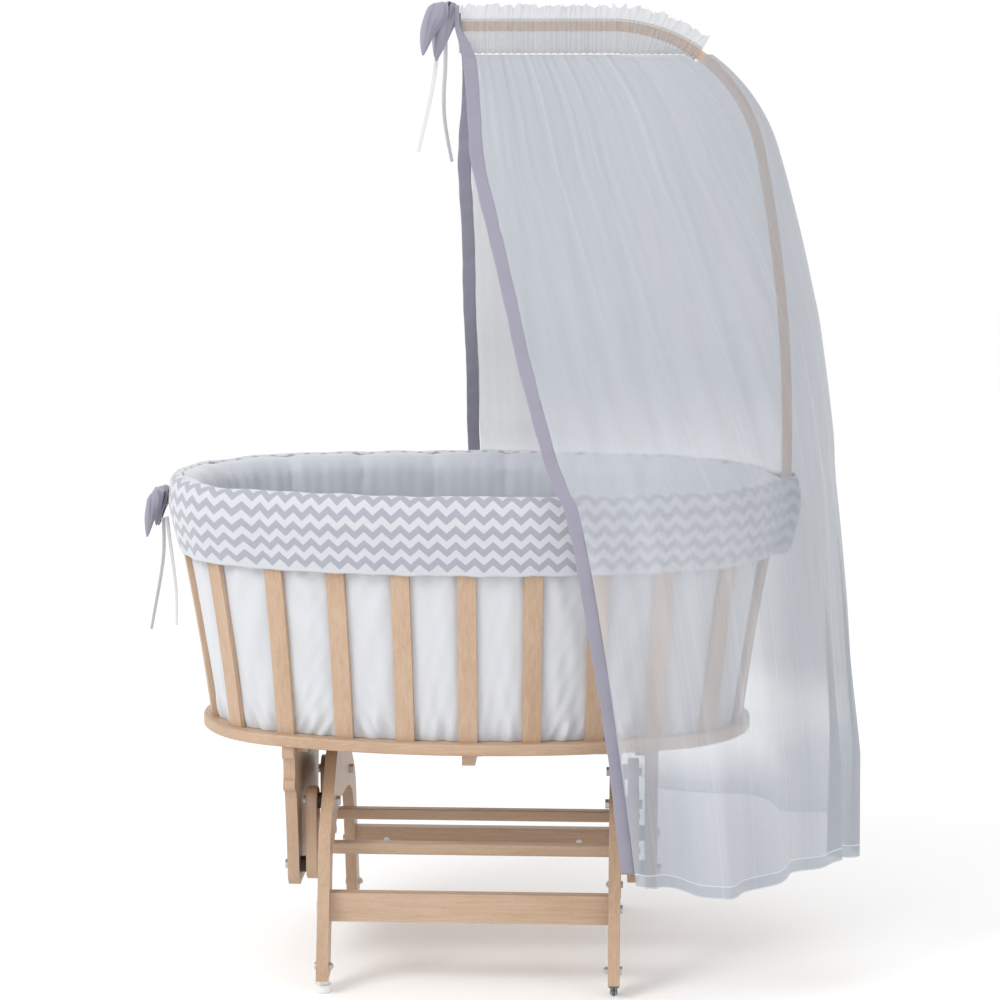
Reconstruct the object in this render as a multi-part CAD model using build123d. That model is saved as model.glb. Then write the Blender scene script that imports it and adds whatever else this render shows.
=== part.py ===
"""Gliding bassinet on a two-arch stand, with a canopy pole and a net.

Frame: +X along the basket towards the canopy pole, +Y to the rear, +Z up, floor at Z = 0.
The stand is drawn about its own centre, and every part is then moved along X so that the
origin lies under the middle of the whole object.  All sizes are in millimetres.
"""
import math
import os

from build123d import *

# ---------------------------------------------------------------- stand
PLY = 18.0                # thickness of the arch boards
ARCH_SPACING = 442.0      # between the mid-planes of the two arches
ARCH_TOP_Z = 348.0
ARCH_TOP_HALF = 62.0      # half-width of the flat on top of an arch
ARCH_BAND = 96.0          # wood above the middle of the opening
FOOT_SPACING = 454.0      # between the front and the rear foot
LEG_WIDTH = 42.0
FOOT_HEIGHT = 22.0        # floor to the underside of a leg
WAIST_Z = 165.0           # where the straight leg meets the curved arch
RAIL_HEIGHT = 45.0
RAIL_THICK = 18.0
RAIL_Z = 102.0            # underside of the two lower rails
RAIL_INSET = 9.0          # rail centre, inwards of the leg's centre line
RAIL_BOLT_R = 3.0
RAIL_BOLT_GRIP = 60.0     # length of a rail bolt inside the rail
BARREL_R = 5.0
FOOT_BOLT_R = 3.0
FOOT_BOLT_RISE = 18.0     # above the underside of the leg

# ---------------------------------------------------------------- glider links
PIVOT_SPACING = 204.0     # front to rear
PIVOT_Z = 266.0
LINK_LENGTH = 102.0       # between the upper and the lower pivot
LINK_WIDTH = 45.0
LINK_THICK = 18.0
STRETCHER = 18.0          # square section of the bars that join left and right links
STRETCHER_RISE = 28.0     # bar centre above the lower pivot
SPACER_LENGTH = 10.0
SPACER_R = 12.5
PIVOT_BOLT_R = 4.0
SWING_DEG = 15.0
OPENING_CLEAR = 17.0      # between a bar at full swing and the arch opening
RUN_CLEAR = 0.3           # between faces that slide past each other
PIN_CLEAR = 0.05          # radial, round a turning bolt or pin
HOLE_CLEAR = 0.05         # radial, round a fixed bolt

# ---------------------------------------------------------------- basket
BASE_LENGTH = 862.0
BASE_WIDTH = 460.0
BASE_END_R = 188.0        # radius of the oval's two ends
BASE_THICK = 18.0
BASE_GAP = 22.0           # top of the arches to the underside of the base
HANGER_THICK = 18.0
HANGER_BOTTOM_HALF = 128.0
HANGER_BELOW_PIVOT = 29.0
CLEAT = 17.0
BATTEN_WIDTH = 20.0
SLAT_COUNT = 22
SLAT_INSET = 12.0         # foot of a slat, inwards of the base edge
SLAT_WIDTH = 28.0
SLAT_THICK = 8.0
SLAT_HEIGHT = 334.0
FLARE_TOP = 54.0          # how far a slat's top leans out past its foot
FLARE_BOW = 3.5           # how far its middle stays inside the straight line
RING_WIDTH = 26.0
RING_THICK = 18.0

# ---------------------------------------------------------------- soft parts of the basket
SOFT_GAP = 1.5            # between soft parts and what they lie against
LINER_THICK = 3.0
MATTRESS_THICK = 50.0
BUMPER_THICK = 18.0
BUMPER_TOP = 20.0         # padding above the rim ring
BAND_THICK = 3.0
BAND_HEIGHT = 112.0

# ---------------------------------------------------------------- canopy
POLE_THICK = 15.0         # in the plane of its bend
POLE_WIDTH = 20.0
POLE_TOP_Z = 1454.0       # centre line of the level stretch
POLE_TIP_X = -25.0
POLE_BEND_R = 235.0
POLE_LEAN_R = 2178.0
POLE_LEAN_DEG = 12.0
POLE_BOTTOM_GAP = 7.0     # lower end of the pole above the band's lower edge
POLE_SCREW_R = 2.5
NET_THICK = 2.0
NET_HALF_WIDTH = 300.0    # from the middle to either side, below the rim
NET_HEM_Z = 185.0
NET_FAR_HEM_Z = 240.0
NET_END_GAP_TOP = 8.0     # net outside the pole, at the top and at the hem
NET_END_GAP_HEM = 106.0
NET_EDGE_DRIFT = 170.0    # how far the near edge moves along X down to the rim
NET_SKIRT_DRIFT = 98.0    # and from the rim down to the hem
NET_RIM_CLEAR = 13.0
TRIM_WIDTH = 20.0
CASING_THICK = 3.0
CASING_DROP = 41.0        # lower seam of the casing, below the pole's centre line
RUFFLE_TOP = 33.0         # top of the ruffle, above the pole's centre line
HEADER_BEND_DEG = 55.0    # how far round the bend the casing reaches
BOW_DEPTH = 34.0
BOW_HEIGHT = 90.0
BOW_WIDTH = 110.0
CANOPY_BOW_DEPTH = 50.0
CANOPY_BOW_HEIGHT = 84.0
TIE_R = 1.5

# ---------------------------------------------------------------- feet
GLIDE_R = 13.0
GLIDE_BASE = 13.0
GLIDE_NECK_R = 9.0
STEM_R = 3.0
STEM_LENGTH = 12.0
WHEEL_R = 6.5
WHEEL_WIDTH = 5.0
WHEEL_GAP = 0.5           # beside the wheel, inside its fork
CHEEK_THICK = 2.5
HOOD_R = 8.5
HOOD_THICK = 2.6
CASTOR_TRAIL = 3.0
AXLE_R = 1.2
SWIVEL_PIN_R = 1.5
SWIVEL_PIN_LENGTH = 9.0

# ---------------------------------------------------------------- values worked out from the above
ARCH_X = ARCH_SPACING / 2
ARCH_IN = ARCH_X - PLY / 2
ARCH_OUT = ARCH_X + PLY / 2
LINK_IN = ARCH_OUT + SPACER_LENGTH
LINK_OUT = LINK_IN + LINK_THICK
HANGER_IN = LINK_OUT + SPACER_LENGTH
HANGER_OUT = HANGER_IN + HANGER_THICK
PIVOT_Y = PIVOT_SPACING / 2
LOWER_Z = PIVOT_Z - LINK_LENGTH
FOOT_Y = FOOT_SPACING / 2
BAR_Z = LOWER_Z + STRETCHER_RISE
SWING_TRAVEL = (PIVOT_Z - BAR_Z + STRETCHER / 2) * math.sin(math.radians(SWING_DEG))
OPENING_HALF = PIVOT_Y + STRETCHER / 2 + SWING_TRAVEL + OPENING_CLEAR
WAIST_Y = OPENING_HALF + 18.0 + LEG_WIDTH / 2

BASE_Z = ARCH_TOP_Z + BASE_GAP
FLOOR_Z = BASE_Z + BASE_THICK
RING_Z = FLOOR_Z + SLAT_HEIGHT
RIM_Z = RING_Z + RING_THICK
TOP_Z = RIM_Z + SOFT_GAP + BUMPER_TOP
FOOT_A = BASE_LENGTH / 2 - SLAT_INSET
FOOT_B = BASE_WIDTH / 2 - SLAT_INSET
FOOT_R = BASE_END_R - SLAT_INSET
RING_OUTER = FLARE_TOP + 1.0
RING_INNER = RING_OUTER - RING_WIDTH
BAND_Z = TOP_Z - BAND_HEIGHT

POLE_X = FOOT_A + RING_OUTER + 1.0 + POLE_THICK / 2
BEND_X = POLE_X - POLE_LEAN_R * (1 - math.cos(math.radians(POLE_LEAN_DEG))) \
    - POLE_BEND_R * math.cos(math.radians(POLE_LEAN_DEG))
BEND_Z = POLE_TOP_Z - POLE_BEND_R
LEAN_Z = BEND_Z + (POLE_BEND_R - POLE_LEAN_R) * math.sin(math.radians(POLE_LEAN_DEG))
LEAN_X = POLE_X - POLE_LEAN_R
POCKET_OUT = POLE_X + POLE_THICK / 2 + 6.0

NET_TOP_Z = POLE_TOP_Z - CASING_DROP - SOFT_GAP
NET_RIM_Z = TOP_Z + NET_RIM_CLEAR
NET_RIGHT = POLE_X + POLE_THICK / 2 + NET_END_GAP_HEM + NET_THICK
BAND_LEFT = -(FOOT_A + FLARE_TOP + 2.5 + BAND_THICK)
BOW_LEFT = BAND_LEFT - SOFT_GAP - BOW_DEPTH
ORIGIN_X = (NET_RIGHT + BOW_LEFT) / 2
FRONT, REAR = -1, 1
LEFT, RIGHT = -1, 1
SIDES = {"left": LEFT, "right": RIGHT}
ENDS = {"front": FRONT, "rear": REAR}


# ---------------------------------------------------------------- small helpers
def block(x, y, z):
    """A box from its three (low, high) ranges, given in any order."""
    size = [abs(high - low) for low, high in (x, y, z)]
    middle = [(high + low) / 2 for low, high in (x, y, z)]
    return Pos(*middle) * Box(*size)


def rod_x(radius, x_from, x_to, y, z):
    """A round rod along X."""
    return Pos((x_from + x_to) / 2, y, z) * Rot(0, 90, 0) * Cylinder(radius, abs(x_to - x_from))


def rod_y(radius, y_from, y_to, x, z):
    """A round rod along Y."""
    return Pos(x, (y_from + y_to) / 2, z) * Rot(90, 0, 0) * Cylinder(radius, abs(y_to - y_from))


def rod_z(radius, z_from, z_to, x, y):
    """A round rod along Z."""
    return Pos(x, y, (z_from + z_to) / 2) * Cylinder(radius, abs(z_to - z_from))


def hex_x(across, x_from, x_to, y, z):
    """A hexagonal nut or bolt head along X."""
    outline = RegularPolygon(across / 2, 6, major_radius=False)
    prism = extrude(outline, abs(x_to - x_from))
    return Pos(min(x_from, x_to), y, z) * Rot(0, 90, 0) * prism


def corners(function):
    """Run a function for every side and end, and join what it returns."""
    return [function(side, end) for side in SIDES.values() for end in ENDS.values()]


def leg_centre(z):
    """Y of the leg's centre line at a height, on the straight part below the waist."""
    share = (WAIST_Z - z) / (WAIST_Z - FOOT_HEIGHT)
    return WAIST_Y + (FOOT_Y - WAIST_Y) * share


def flare(z):
    """How far the slats' outer face stands outside its foot at a height."""
    share = (z - FLOOR_Z) / SLAT_HEIGHT
    return FLARE_TOP * share - 4 * FLARE_BOW * share * (1 - share)


def oval(offset, z):
    """Face of the slat-foot oval, grown by an offset: four arcs, tangent to each other."""
    a, b, r = FOOT_A + offset, FOOT_B + offset, FOOT_R + offset
    side_r = ((a - r) ** 2 + b ** 2 - r ** 2) / (2 * (b - r))
    reach = side_r / (side_r - r)
    tx = (a - r) * reach
    ty = (b - side_r) + (side_r - b) * reach
    edges = [
        ThreePointArc((-tx, ty), (0, b), (tx, ty)),
        ThreePointArc((tx, ty), (a, 0), (tx, -ty)),
        ThreePointArc((tx, -ty), (0, -b), (-tx, -ty)),
        ThreePointArc((-tx, -ty), (-a, 0), (-tx, ty)),
    ]
    return Pos(0, 0, z) * make_face(edges)


def oval_ring(inner, outer, z_low, z_high):
    """A straight-walled ring between two offsets of the oval."""
    height = z_high - z_low
    return extrude(oval(outer, z_low), height) - extrude(oval(inner, z_low), height)


def flared_ring(levels, thickness):
    """A wall whose outer face passes through (z, offset) levels."""
    outer = loft([oval(offset, z) for z, offset in levels], ruled=True)
    inner = loft([oval(offset - thickness, z) for z, offset in levels], ruled=True)
    return outer - inner


def oval_station(distance):
    """(x, y, heading) of a point on the slat-foot oval, measured from the front middle.

    Heading is the direction of the outward normal in degrees.
    """
    a, b, r = FOOT_A, FOOT_B, FOOT_R
    side_r = ((a - r) ** 2 + b ** 2 - r ** 2) / (2 * (b - r))
    turn = math.atan2(side_r - b, a - r)
    side_len = (math.pi / 2 - turn) * side_r
    quarter = side_len + turn * r
    quadrant, along = divmod(distance, quarter)
    if quadrant % 2:
        along = quarter - along
    if along < side_len:
        angle = math.pi / 2 - along / side_r
        x, y = side_r * math.cos(angle), (side_r - b) - side_r * math.sin(angle)
    else:
        angle = turn - (along - side_len) / r
        x, y = (a - r) + r * math.cos(angle), -r * math.sin(angle)
    heading = -math.degrees(angle)
    if quadrant in (1, 2):
        y, heading = -y, -heading
    if quadrant in (2, 3):
        x, heading = -x, 180 - heading
    return x, y, heading


def oval_quarter():
    """Length of a quarter of the slat-foot oval."""
    a, b, r = FOOT_A, FOOT_B, FOOT_R
    side_r = ((a - r) ** 2 + b ** 2 - r ** 2) / (2 * (b - r))
    turn = math.atan2(side_r - b, a - r)
    return (math.pi / 2 - turn) * side_r + turn * r


# ---------------------------------------------------------------- stand
def arch(side):
    """One end frame: a plywood arch with two splayed legs, and all its bores."""
    foot_out, foot_in = FOOT_Y + LEG_WIDTH / 2, FOOT_Y - LEG_WIDTH / 2
    waist_out, waist_in = WAIST_Y + LEG_WIDTH / 2, WAIST_Y - LEG_WIDTH / 2
    down = (FOOT_Y - WAIST_Y, FOOT_HEIGHT - WAIST_Z)
    up_left = (-down[0], -down[1])
    outer = Spline((ARCH_TOP_HALF, ARCH_TOP_Z), (PIVOT_Y + 27, PIVOT_Z + 26),
                   (waist_out - 21, WAIST_Z + 73), (waist_out, WAIST_Z),
                   tangents=[(1, -0.45), down])
    apex_z = ARCH_TOP_Z - ARCH_BAND
    inner = Spline((waist_in, WAIST_Z), (OPENING_HALF, BAR_Z + STRETCHER / 2 + 6),
                   (PIVOT_Y - 17, apex_z - 9), (0, apex_z), (-PIVOT_Y + 17, apex_z - 9),
                   (-OPENING_HALF, BAR_Z + STRETCHER / 2 + 6), (-waist_in, WAIST_Z),
                   tangents=[up_left, (down[0] * -1, down[1])])
    right_leg = [Line((waist_out, WAIST_Z), (foot_out, FOOT_HEIGHT)),
                 Line((foot_out, FOOT_HEIGHT), (foot_in, FOOT_HEIGHT)),
                 Line((foot_in, FOOT_HEIGHT), (waist_in, WAIST_Z))]
    half = [outer] + right_leg
    mirrored = [mirror(edge, Plane.YZ) for edge in half]
    top = Line((-ARCH_TOP_HALF, ARCH_TOP_Z), (ARCH_TOP_HALF, ARCH_TOP_Z))
    outline = make_face([top, inner] + half + mirrored)
    board = extrude(Plane.YZ * outline, PLY / 2, both=True)
    board = Pos(side * ARCH_X, 0, 0) * board
    for end in ENDS.values():
        x_range = (side * (ARCH_IN - 1), side * (ARCH_OUT + 1))
        rail_y = end * (leg_centre(RAIL_Z + RAIL_HEIGHT / 2) - RAIL_INSET)
        board -= rod_x(PIVOT_BOLT_R + HOLE_CLEAR, *x_range, end * PIVOT_Y, PIVOT_Z)
        board -= rod_x(RAIL_BOLT_R + HOLE_CLEAR, *x_range, rail_y, RAIL_Z + RAIL_HEIGHT / 2)
        board -= rod_x(FOOT_BOLT_R + HOLE_CLEAR, *x_range, end * FOOT_Y, FOOT_HEIGHT + FOOT_BOLT_RISE)
        board -= rod_z(STEM_R + HOLE_CLEAR, FOOT_HEIGHT - 1, FOOT_HEIGHT + STEM_LENGTH + 0.5,
                       side * ARCH_X, end * FOOT_Y)
    return board


def rail_centre(end):
    """Y of a lower rail's centre line."""
    return end * (leg_centre(RAIL_Z + RAIL_HEIGHT / 2) - RAIL_INSET)


def barrel_x(side):
    """X of a rail's barrel nut."""
    return side * (ARCH_IN - RAIL_BOLT_GRIP + 8)


def lower_rail(end):
    """A lower rail, butted between the two arches and bored for its bolts."""
    y, z = rail_centre(end), RAIL_Z + RAIL_HEIGHT / 2
    rail = block((-ARCH_IN, ARCH_IN), (y - RAIL_THICK / 2, y + RAIL_THICK / 2),
                 (RAIL_Z, RAIL_Z + RAIL_HEIGHT))
    for side in SIDES.values():
        rail -= rod_x(RAIL_BOLT_R + HOLE_CLEAR, side * (ARCH_IN - RAIL_BOLT_GRIP - 2),
                      side * (ARCH_IN + 1), y, z)
        bore = sorted((y - end * (RAIL_THICK / 2 + 1), y + end * (RAIL_THICK / 2 - 3.5)))
        rail -= rod_y(BARREL_R + HOLE_CLEAR, *bore, barrel_x(side), z)
    return rail


def rail_bolt(side, end):
    """A cap-headed bolt through the arch into the rail."""
    y, z = rail_centre(end), RAIL_Z + RAIL_HEIGHT / 2
    shank = rod_x(RAIL_BOLT_R, side * (ARCH_IN - RAIL_BOLT_GRIP), side * ARCH_OUT, y, z)
    head = rod_x(6.5, side * ARCH_OUT, side * (ARCH_OUT + 3.5), y, z)
    socket = hex_x(5, side * (ARCH_OUT + 1.5), side * (ARCH_OUT + 4), y, z)
    return shank + head - socket


def barrel_nut(side, end):
    """The cross nut that a rail bolt screws into, let in from the rail's inner face."""
    y, z = rail_centre(end), RAIL_Z + RAIL_HEIGHT / 2
    span = sorted((y - end * (RAIL_THICK / 2 - 1), y + end * (RAIL_THICK / 2 - 4)))
    body = rod_y(BARREL_R, *span, barrel_x(side), z)
    bore = rod_x(RAIL_BOLT_R + HOLE_CLEAR, barrel_x(side) - 8, barrel_x(side) + 8, y, z)
    return body - bore


def foot_bolt(side, end):
    """A bolt with a nut across the foot of a leg."""
    y, z = end * FOOT_Y, FOOT_HEIGHT + FOOT_BOLT_RISE
    shank = rod_x(FOOT_BOLT_R, side * (ARCH_IN - 7), side * ARCH_OUT, y, z)
    head = rod_x(6.0, side * ARCH_OUT, side * (ARCH_OUT + 3.5), y, z)
    return shank + head


def foot_nut(side, end):
    """The cap nut on a foot bolt."""
    y, z = end * FOOT_Y, FOOT_HEIGHT + FOOT_BOLT_RISE
    nut = hex_x(10, side * ARCH_IN, side * (ARCH_IN - 5), y, z)
    return nut - rod_x(FOOT_BOLT_R + HOLE_CLEAR, side * (ARCH_IN - 8), side * ARCH_OUT, y, z)


def glide(end):
    """A round plastic glide with a stem, under a left leg."""
    x, y = -ARCH_X, end * FOOT_Y
    base = rod_z(GLIDE_R, 0, GLIDE_BASE, x, y)
    base = chamfer(base.edges().group_by(Axis.Z)[0], 2)
    base = fillet(base.edges().group_by(Axis.Z)[-1], 2)
    neck = rod_z(GLIDE_NECK_R, GLIDE_BASE - 1, FOOT_HEIGHT, x, y)
    return base + neck + rod_z(STEM_R, FOOT_HEIGHT - 1, FOOT_HEIGHT + STEM_LENGTH, x, y)


# ---------------------------------------------------------------- castors under the right legs
HOOD_TOP = FOOT_HEIGHT - 5.0
HOOD_LOW = HOOD_TOP - RUN_CLEAR - HOOD_THICK


def castor_socket(end):
    """The fixed cap and stem that a castor turns in."""
    x, y = ARCH_X, end * FOOT_Y
    cap = rod_z(HOOD_R, HOOD_TOP, FOOT_HEIGHT, x, y)
    stem = rod_z(STEM_R, FOOT_HEIGHT - 1, FOOT_HEIGHT + STEM_LENGTH, x, y)
    bore = rod_z(SWIVEL_PIN_R + PIN_CLEAR, HOOD_TOP - 1, HOOD_TOP + SWIVEL_PIN_LENGTH + 1, x, y)
    return cap + stem - bore


def castor_fork(end):
    """Hood, two cheeks and the pin that turns in the socket."""
    x, y = ARCH_X, end * FOOT_Y
    top = HOOD_TOP - RUN_CLEAR
    hood = rod_z(HOOD_R, top - HOOD_THICK, top, x, y)
    inner = WHEEL_WIDTH / 2 + WHEEL_GAP
    for side in (-1, 1):
        cheek = block((x + side * inner, x + side * (inner + CHEEK_THICK)), (y - 3.5, y + 6.5),
                      (WHEEL_R - 3.2, top - HOOD_THICK / 2))
        hood += cheek
    hood -= rod_x(AXLE_R + HOLE_CLEAR, x - 10, x + 10, y + CASTOR_TRAIL, WHEEL_R)
    return hood + rod_z(SWIVEL_PIN_R, top - 1, HOOD_TOP + SWIVEL_PIN_LENGTH, x, y)


def castor_axle(end):
    """The pin across a castor's fork."""
    reach = WHEEL_WIDTH / 2 + WHEEL_GAP + CHEEK_THICK
    return rod_x(AXLE_R, ARCH_X - reach, ARCH_X + reach, end * FOOT_Y + CASTOR_TRAIL, WHEEL_R)


def castor_wheel(end):
    """A small wheel that spins on the axle."""
    y = end * FOOT_Y + CASTOR_TRAIL
    wheel = rod_x(WHEEL_R, ARCH_X - WHEEL_WIDTH / 2, ARCH_X + WHEEL_WIDTH / 2, y, WHEEL_R)
    return wheel - rod_x(AXLE_R + PIN_CLEAR, ARCH_X - 5, ARCH_X + 5, y, WHEEL_R)


# ---------------------------------------------------------------- glider
def upper_bolt(side, end):
    """The pivot bolt fixed in an arch; a link turns on its outer end."""
    y, z = end * PIVOT_Y, PIVOT_Z
    shank = rod_x(PIVOT_BOLT_R, side * (ARCH_IN - 6), side * (LINK_OUT + RUN_CLEAR), y, z)
    head = rod_x(7.0, side * (LINK_OUT + RUN_CLEAR), side * (LINK_OUT + 5), y, z)
    return shank + head


def upper_nut(side, end):
    """The nut of a pivot bolt, on the inner face of the arch."""
    y, z = end * PIVOT_Y, PIVOT_Z
    nut = hex_x(13, side * ARCH_IN, side * (ARCH_IN - 6.5), y, z)
    return nut - rod_x(PIVOT_BOLT_R + HOLE_CLEAR, side * (ARCH_IN - 8), side * ARCH_OUT, y, z)


def upper_spacer(side, end):
    """The black spacer between an arch and a link."""
    y, z = end * PIVOT_Y, PIVOT_Z
    body = rod_x(SPACER_R, side * ARCH_OUT, side * (LINK_IN - RUN_CLEAR), y, z)
    return body - rod_x(PIVOT_BOLT_R + HOLE_CLEAR, side * (ARCH_OUT - 1), side * LINK_IN, y, z)


def link(side, end):
    """A link with round ends, bored for both pivots and for the bar's screw."""
    y = end * PIVOT_Y
    outline = SlotCenterToCenter(LINK_LENGTH, LINK_WIDTH, rotation=90)
    plate = extrude(Plane.YZ * (Pos(y, PIVOT_Z - LINK_LENGTH / 2) * outline), LINK_THICK)
    plate = Pos(LINK_IN if side > 0 else -LINK_OUT, 0, 0) * plate
    plate = fillet(plate.edges().filter_by(GeomType.LINE, reverse=True), 2)
    for z in (PIVOT_Z, LOWER_Z):
        plate -= rod_x(PIVOT_BOLT_R + PIN_CLEAR, side * (LINK_IN - 1), side * (LINK_OUT + 1), y, z)
    return plate - rod_x(2.5 + HOLE_CLEAR, side * (LINK_IN - 1), side * (LINK_OUT + 1), y, BAR_Z)


def stretcher(end):
    """The square bar through both arch openings that joins a left and a right link."""
    y = end * PIVOT_Y
    half = STRETCHER / 2
    bar = block((-LINK_IN, LINK_IN), (y - half, y + half), (BAR_Z - half, BAR_Z + half))
    bar = chamfer(bar.edges().filter_by(Axis.X), 1.5)
    for side in SIDES.values():
        bar -= rod_x(2.5 + HOLE_CLEAR, side * (LINK_IN - 32), side * (LINK_IN + 1), y, BAR_Z)
    return bar


def stretcher_screw(side, end):
    """The screw through a link into the end of its bar."""
    y = end * PIVOT_Y
    shank = rod_x(2.5, side * (LINK_IN - 30), side * LINK_OUT, y, BAR_Z)
    return shank + rod_x(5, side * LINK_OUT, side * (LINK_OUT + 2.5), y, BAR_Z)


def lower_bolt(side, end):
    """The pivot bolt fixed in a hanger board; a link turns on its inner end."""
    y, z = end * PIVOT_Y, LOWER_Z
    shank = rod_x(PIVOT_BOLT_R, side * (LINK_IN - RUN_CLEAR), side * (HANGER_OUT + 6), y, z)
    return shank + rod_x(7.0, side * (LINK_IN - 5), side * (LINK_IN - RUN_CLEAR), y, z)


def lower_nut(side, end):
    """The nut of a lower pivot bolt, outside the hanger board."""
    y, z = end * PIVOT_Y, LOWER_Z
    nut = hex_x(13, side * HANGER_OUT, side * (HANGER_OUT + 6.5), y, z)
    return nut - rod_x(PIVOT_BOLT_R + HOLE_CLEAR, side * HANGER_IN, side * (HANGER_OUT + 8), y, z)


def lower_spacer(side, end):
    """The black spacer between a link and a hanger board."""
    y, z = end * PIVOT_Y, LOWER_Z
    body = rod_x(SPACER_R, side * (LINK_OUT + RUN_CLEAR), side * HANGER_IN, y, z)
    return body - rod_x(PIVOT_BOLT_R + HOLE_CLEAR, side * LINK_OUT, side * (HANGER_IN + 1), y, z)


def hanger_board(side):
    """The board under the base that hangs from two links, with its stepped edge."""
    bottom = LOWER_Z - HANGER_BELOW_PIVOT
    low = HANGER_BOTTOM_HALF
    top = oval_half_width(HANGER_OUT)
    half = [
        Line((low - 13, bottom), (low, bottom + 13)),
        ThreePointArc((low, bottom + 13), (low + 8, LOWER_Z + 50), (low + 26, BASE_Z - 78)),
        Line((low + 26, BASE_Z - 78), (low + 42, BASE_Z - 70)),
        ThreePointArc((low + 42, BASE_Z - 70), (low + 45, BASE_Z - 61), (low + 38, BASE_Z - 54)),
        Line((low + 38, BASE_Z - 54), (low + 38, BASE_Z - 31)),
        ThreePointArc((low + 38, BASE_Z - 31), (low + 42, BASE_Z - 22), (top - 3, BASE_Z - 18)),
        Line((top - 3, BASE_Z - 18), (top - 3, BASE_Z)),
    ]
    mirrored = [mirror(edge, Plane.YZ) for edge in half]
    closing = [Line((-low + 13, bottom), (low - 13, bottom)), Line((-top + 3, BASE_Z), (top - 3, BASE_Z))]
    outline = make_face(half + mirrored + closing)
    board = extrude(Plane.YZ * outline, HANGER_THICK)
    board = Pos(HANGER_IN if side > 0 else -HANGER_OUT, 0, 0) * board
    for end in ENDS.values():
        board -= rod_x(PIVOT_BOLT_R + HOLE_CLEAR, side * (HANGER_IN - 1), side * (HANGER_OUT + 1),
                       end * PIVOT_Y, LOWER_Z)
    return board


def oval_half_width(x):
    """Half-width of the base board at a distance along X, on its side arc."""
    a, b, r = BASE_LENGTH / 2, BASE_WIDTH / 2, BASE_END_R
    side_r = ((a - r) ** 2 + b ** 2 - r ** 2) / (2 * (b - r))
    turn_x = side_r * math.cos(math.atan2(side_r - b, a - r))
    if x < turn_x:
        return math.sqrt(side_r ** 2 - x ** 2) - (side_r - b)
    return math.sqrt(r ** 2 - (x - a + r) ** 2)


def hanger_cleat(side):
    """The strip in the corner between a hanger board and the base."""
    reach = PIVOT_Y + 40
    return block((side * (HANGER_IN - CLEAT), side * HANGER_IN), (-reach, reach),
                 (BASE_Z - CLEAT, BASE_Z))


# ---------------------------------------------------------------- basket
def base_board():
    """The oval base, with a softened edge."""
    board = extrude(oval(SLAT_INSET, BASE_Z), BASE_THICK)
    return fillet(board.edges(), 3)


def cross_batten():
    """The batten under the middle of the base."""
    half = BASE_WIDTH / 2 - 24
    return block((-BATTEN_WIDTH / 2, BATTEN_WIDTH / 2), (-half, half), (BASE_Z - 20, BASE_Z))


def slat_blank():
    """A slat at the middle of the front, leaning out along +X of its own frame."""
    top = FLOOR_Z + SLAT_HEIGHT
    middle = FLOOR_Z + SLAT_HEIGHT / 2
    outer = ThreePointArc((0, FLOOR_Z), (flare(middle), middle), (flare(top), top))
    inner = ThreePointArc((-SLAT_THICK, FLOOR_Z), (flare(middle) - SLAT_THICK, middle),
                          (flare(top) - SLAT_THICK, top))
    sill = Line((-SLAT_THICK, FLOOR_Z), (0, FLOOR_Z))
    head = Line((flare(top) - SLAT_THICK, top), (flare(top), top))
    profile = make_face([outer, head, inner, sill])
    slat = extrude(Plane.XZ * profile, SLAT_WIDTH / 2, both=True)
    return slat


def placed_slat(blank, index):
    """A slat at one of the evenly spaced stations round the oval."""
    x, y, heading = oval_station(index * 4 * oval_quarter() / SLAT_COUNT)
    return Pos(x, y, 0) * Rot(0, 0, heading) * blank


def end_slat(blank):
    """The extra slat behind the canopy pole, bored for the pole's lower screw."""
    slat = Pos(FOOT_A, 0, 0) * blank
    return slat - rod_x(POLE_SCREW_R + HOLE_CLEAR, FOOT_A, POLE_X, 0, lower_screw_z())


def rim_ring():
    """The flat oval ring on top of the slats, bored for the pole's upper screw."""
    ring = oval_ring(RING_INNER, RING_OUTER, RING_Z, RIM_Z)
    return ring - rod_x(POLE_SCREW_R + HOLE_CLEAR, POLE_X - 29, POLE_X, 0, upper_screw_z())


def mattress():
    """The mattress on the base board."""
    inset = -(SLAT_THICK + LINER_THICK + 3 * SOFT_GAP)
    pad = extrude(oval(inset, FLOOR_Z), MATTRESS_THICK)
    return fillet(pad.edges(), 12)


def liner():
    """The fabric wall inside the slats."""
    outer = -SLAT_THICK - SOFT_GAP - 0.5
    low, high = FLOOR_Z + SOFT_GAP, RING_Z - SOFT_GAP
    steps = [low + (high - low) * share for share in (0, 0.34, 0.67, 1)]
    return flared_ring([(z, flare(z) + outer) for z in steps], LINER_THICK)


def bumper():
    """The padded inner wall, with its roll over the rim ring."""
    behind = -SLAT_THICK - LINER_THICK - 2 * SOFT_GAP - 0.5
    low = FLOOR_Z + MATTRESS_THICK + SOFT_GAP
    knee = RING_Z - 26
    upper = min(RING_INNER - SOFT_GAP, flare(knee) + behind)
    middle = (low + knee) / 2
    levels = [(low, flare(low) + behind), (middle, flare(middle) + behind),
              (knee, upper), (TOP_Z - 2, upper)]
    wall = flared_ring(levels, BUMPER_THICK)
    roll = oval_ring(upper - BUMPER_THICK, RING_OUTER, RIM_Z + SOFT_GAP, TOP_Z - 2)
    slot = block((POLE_X - POLE_THICK / 2 - 1.2, POLE_X + 40), (-POLE_WIDTH, POLE_WIDTH),
                 (RIM_Z, TOP_Z))
    return wall + roll - slot


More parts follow.
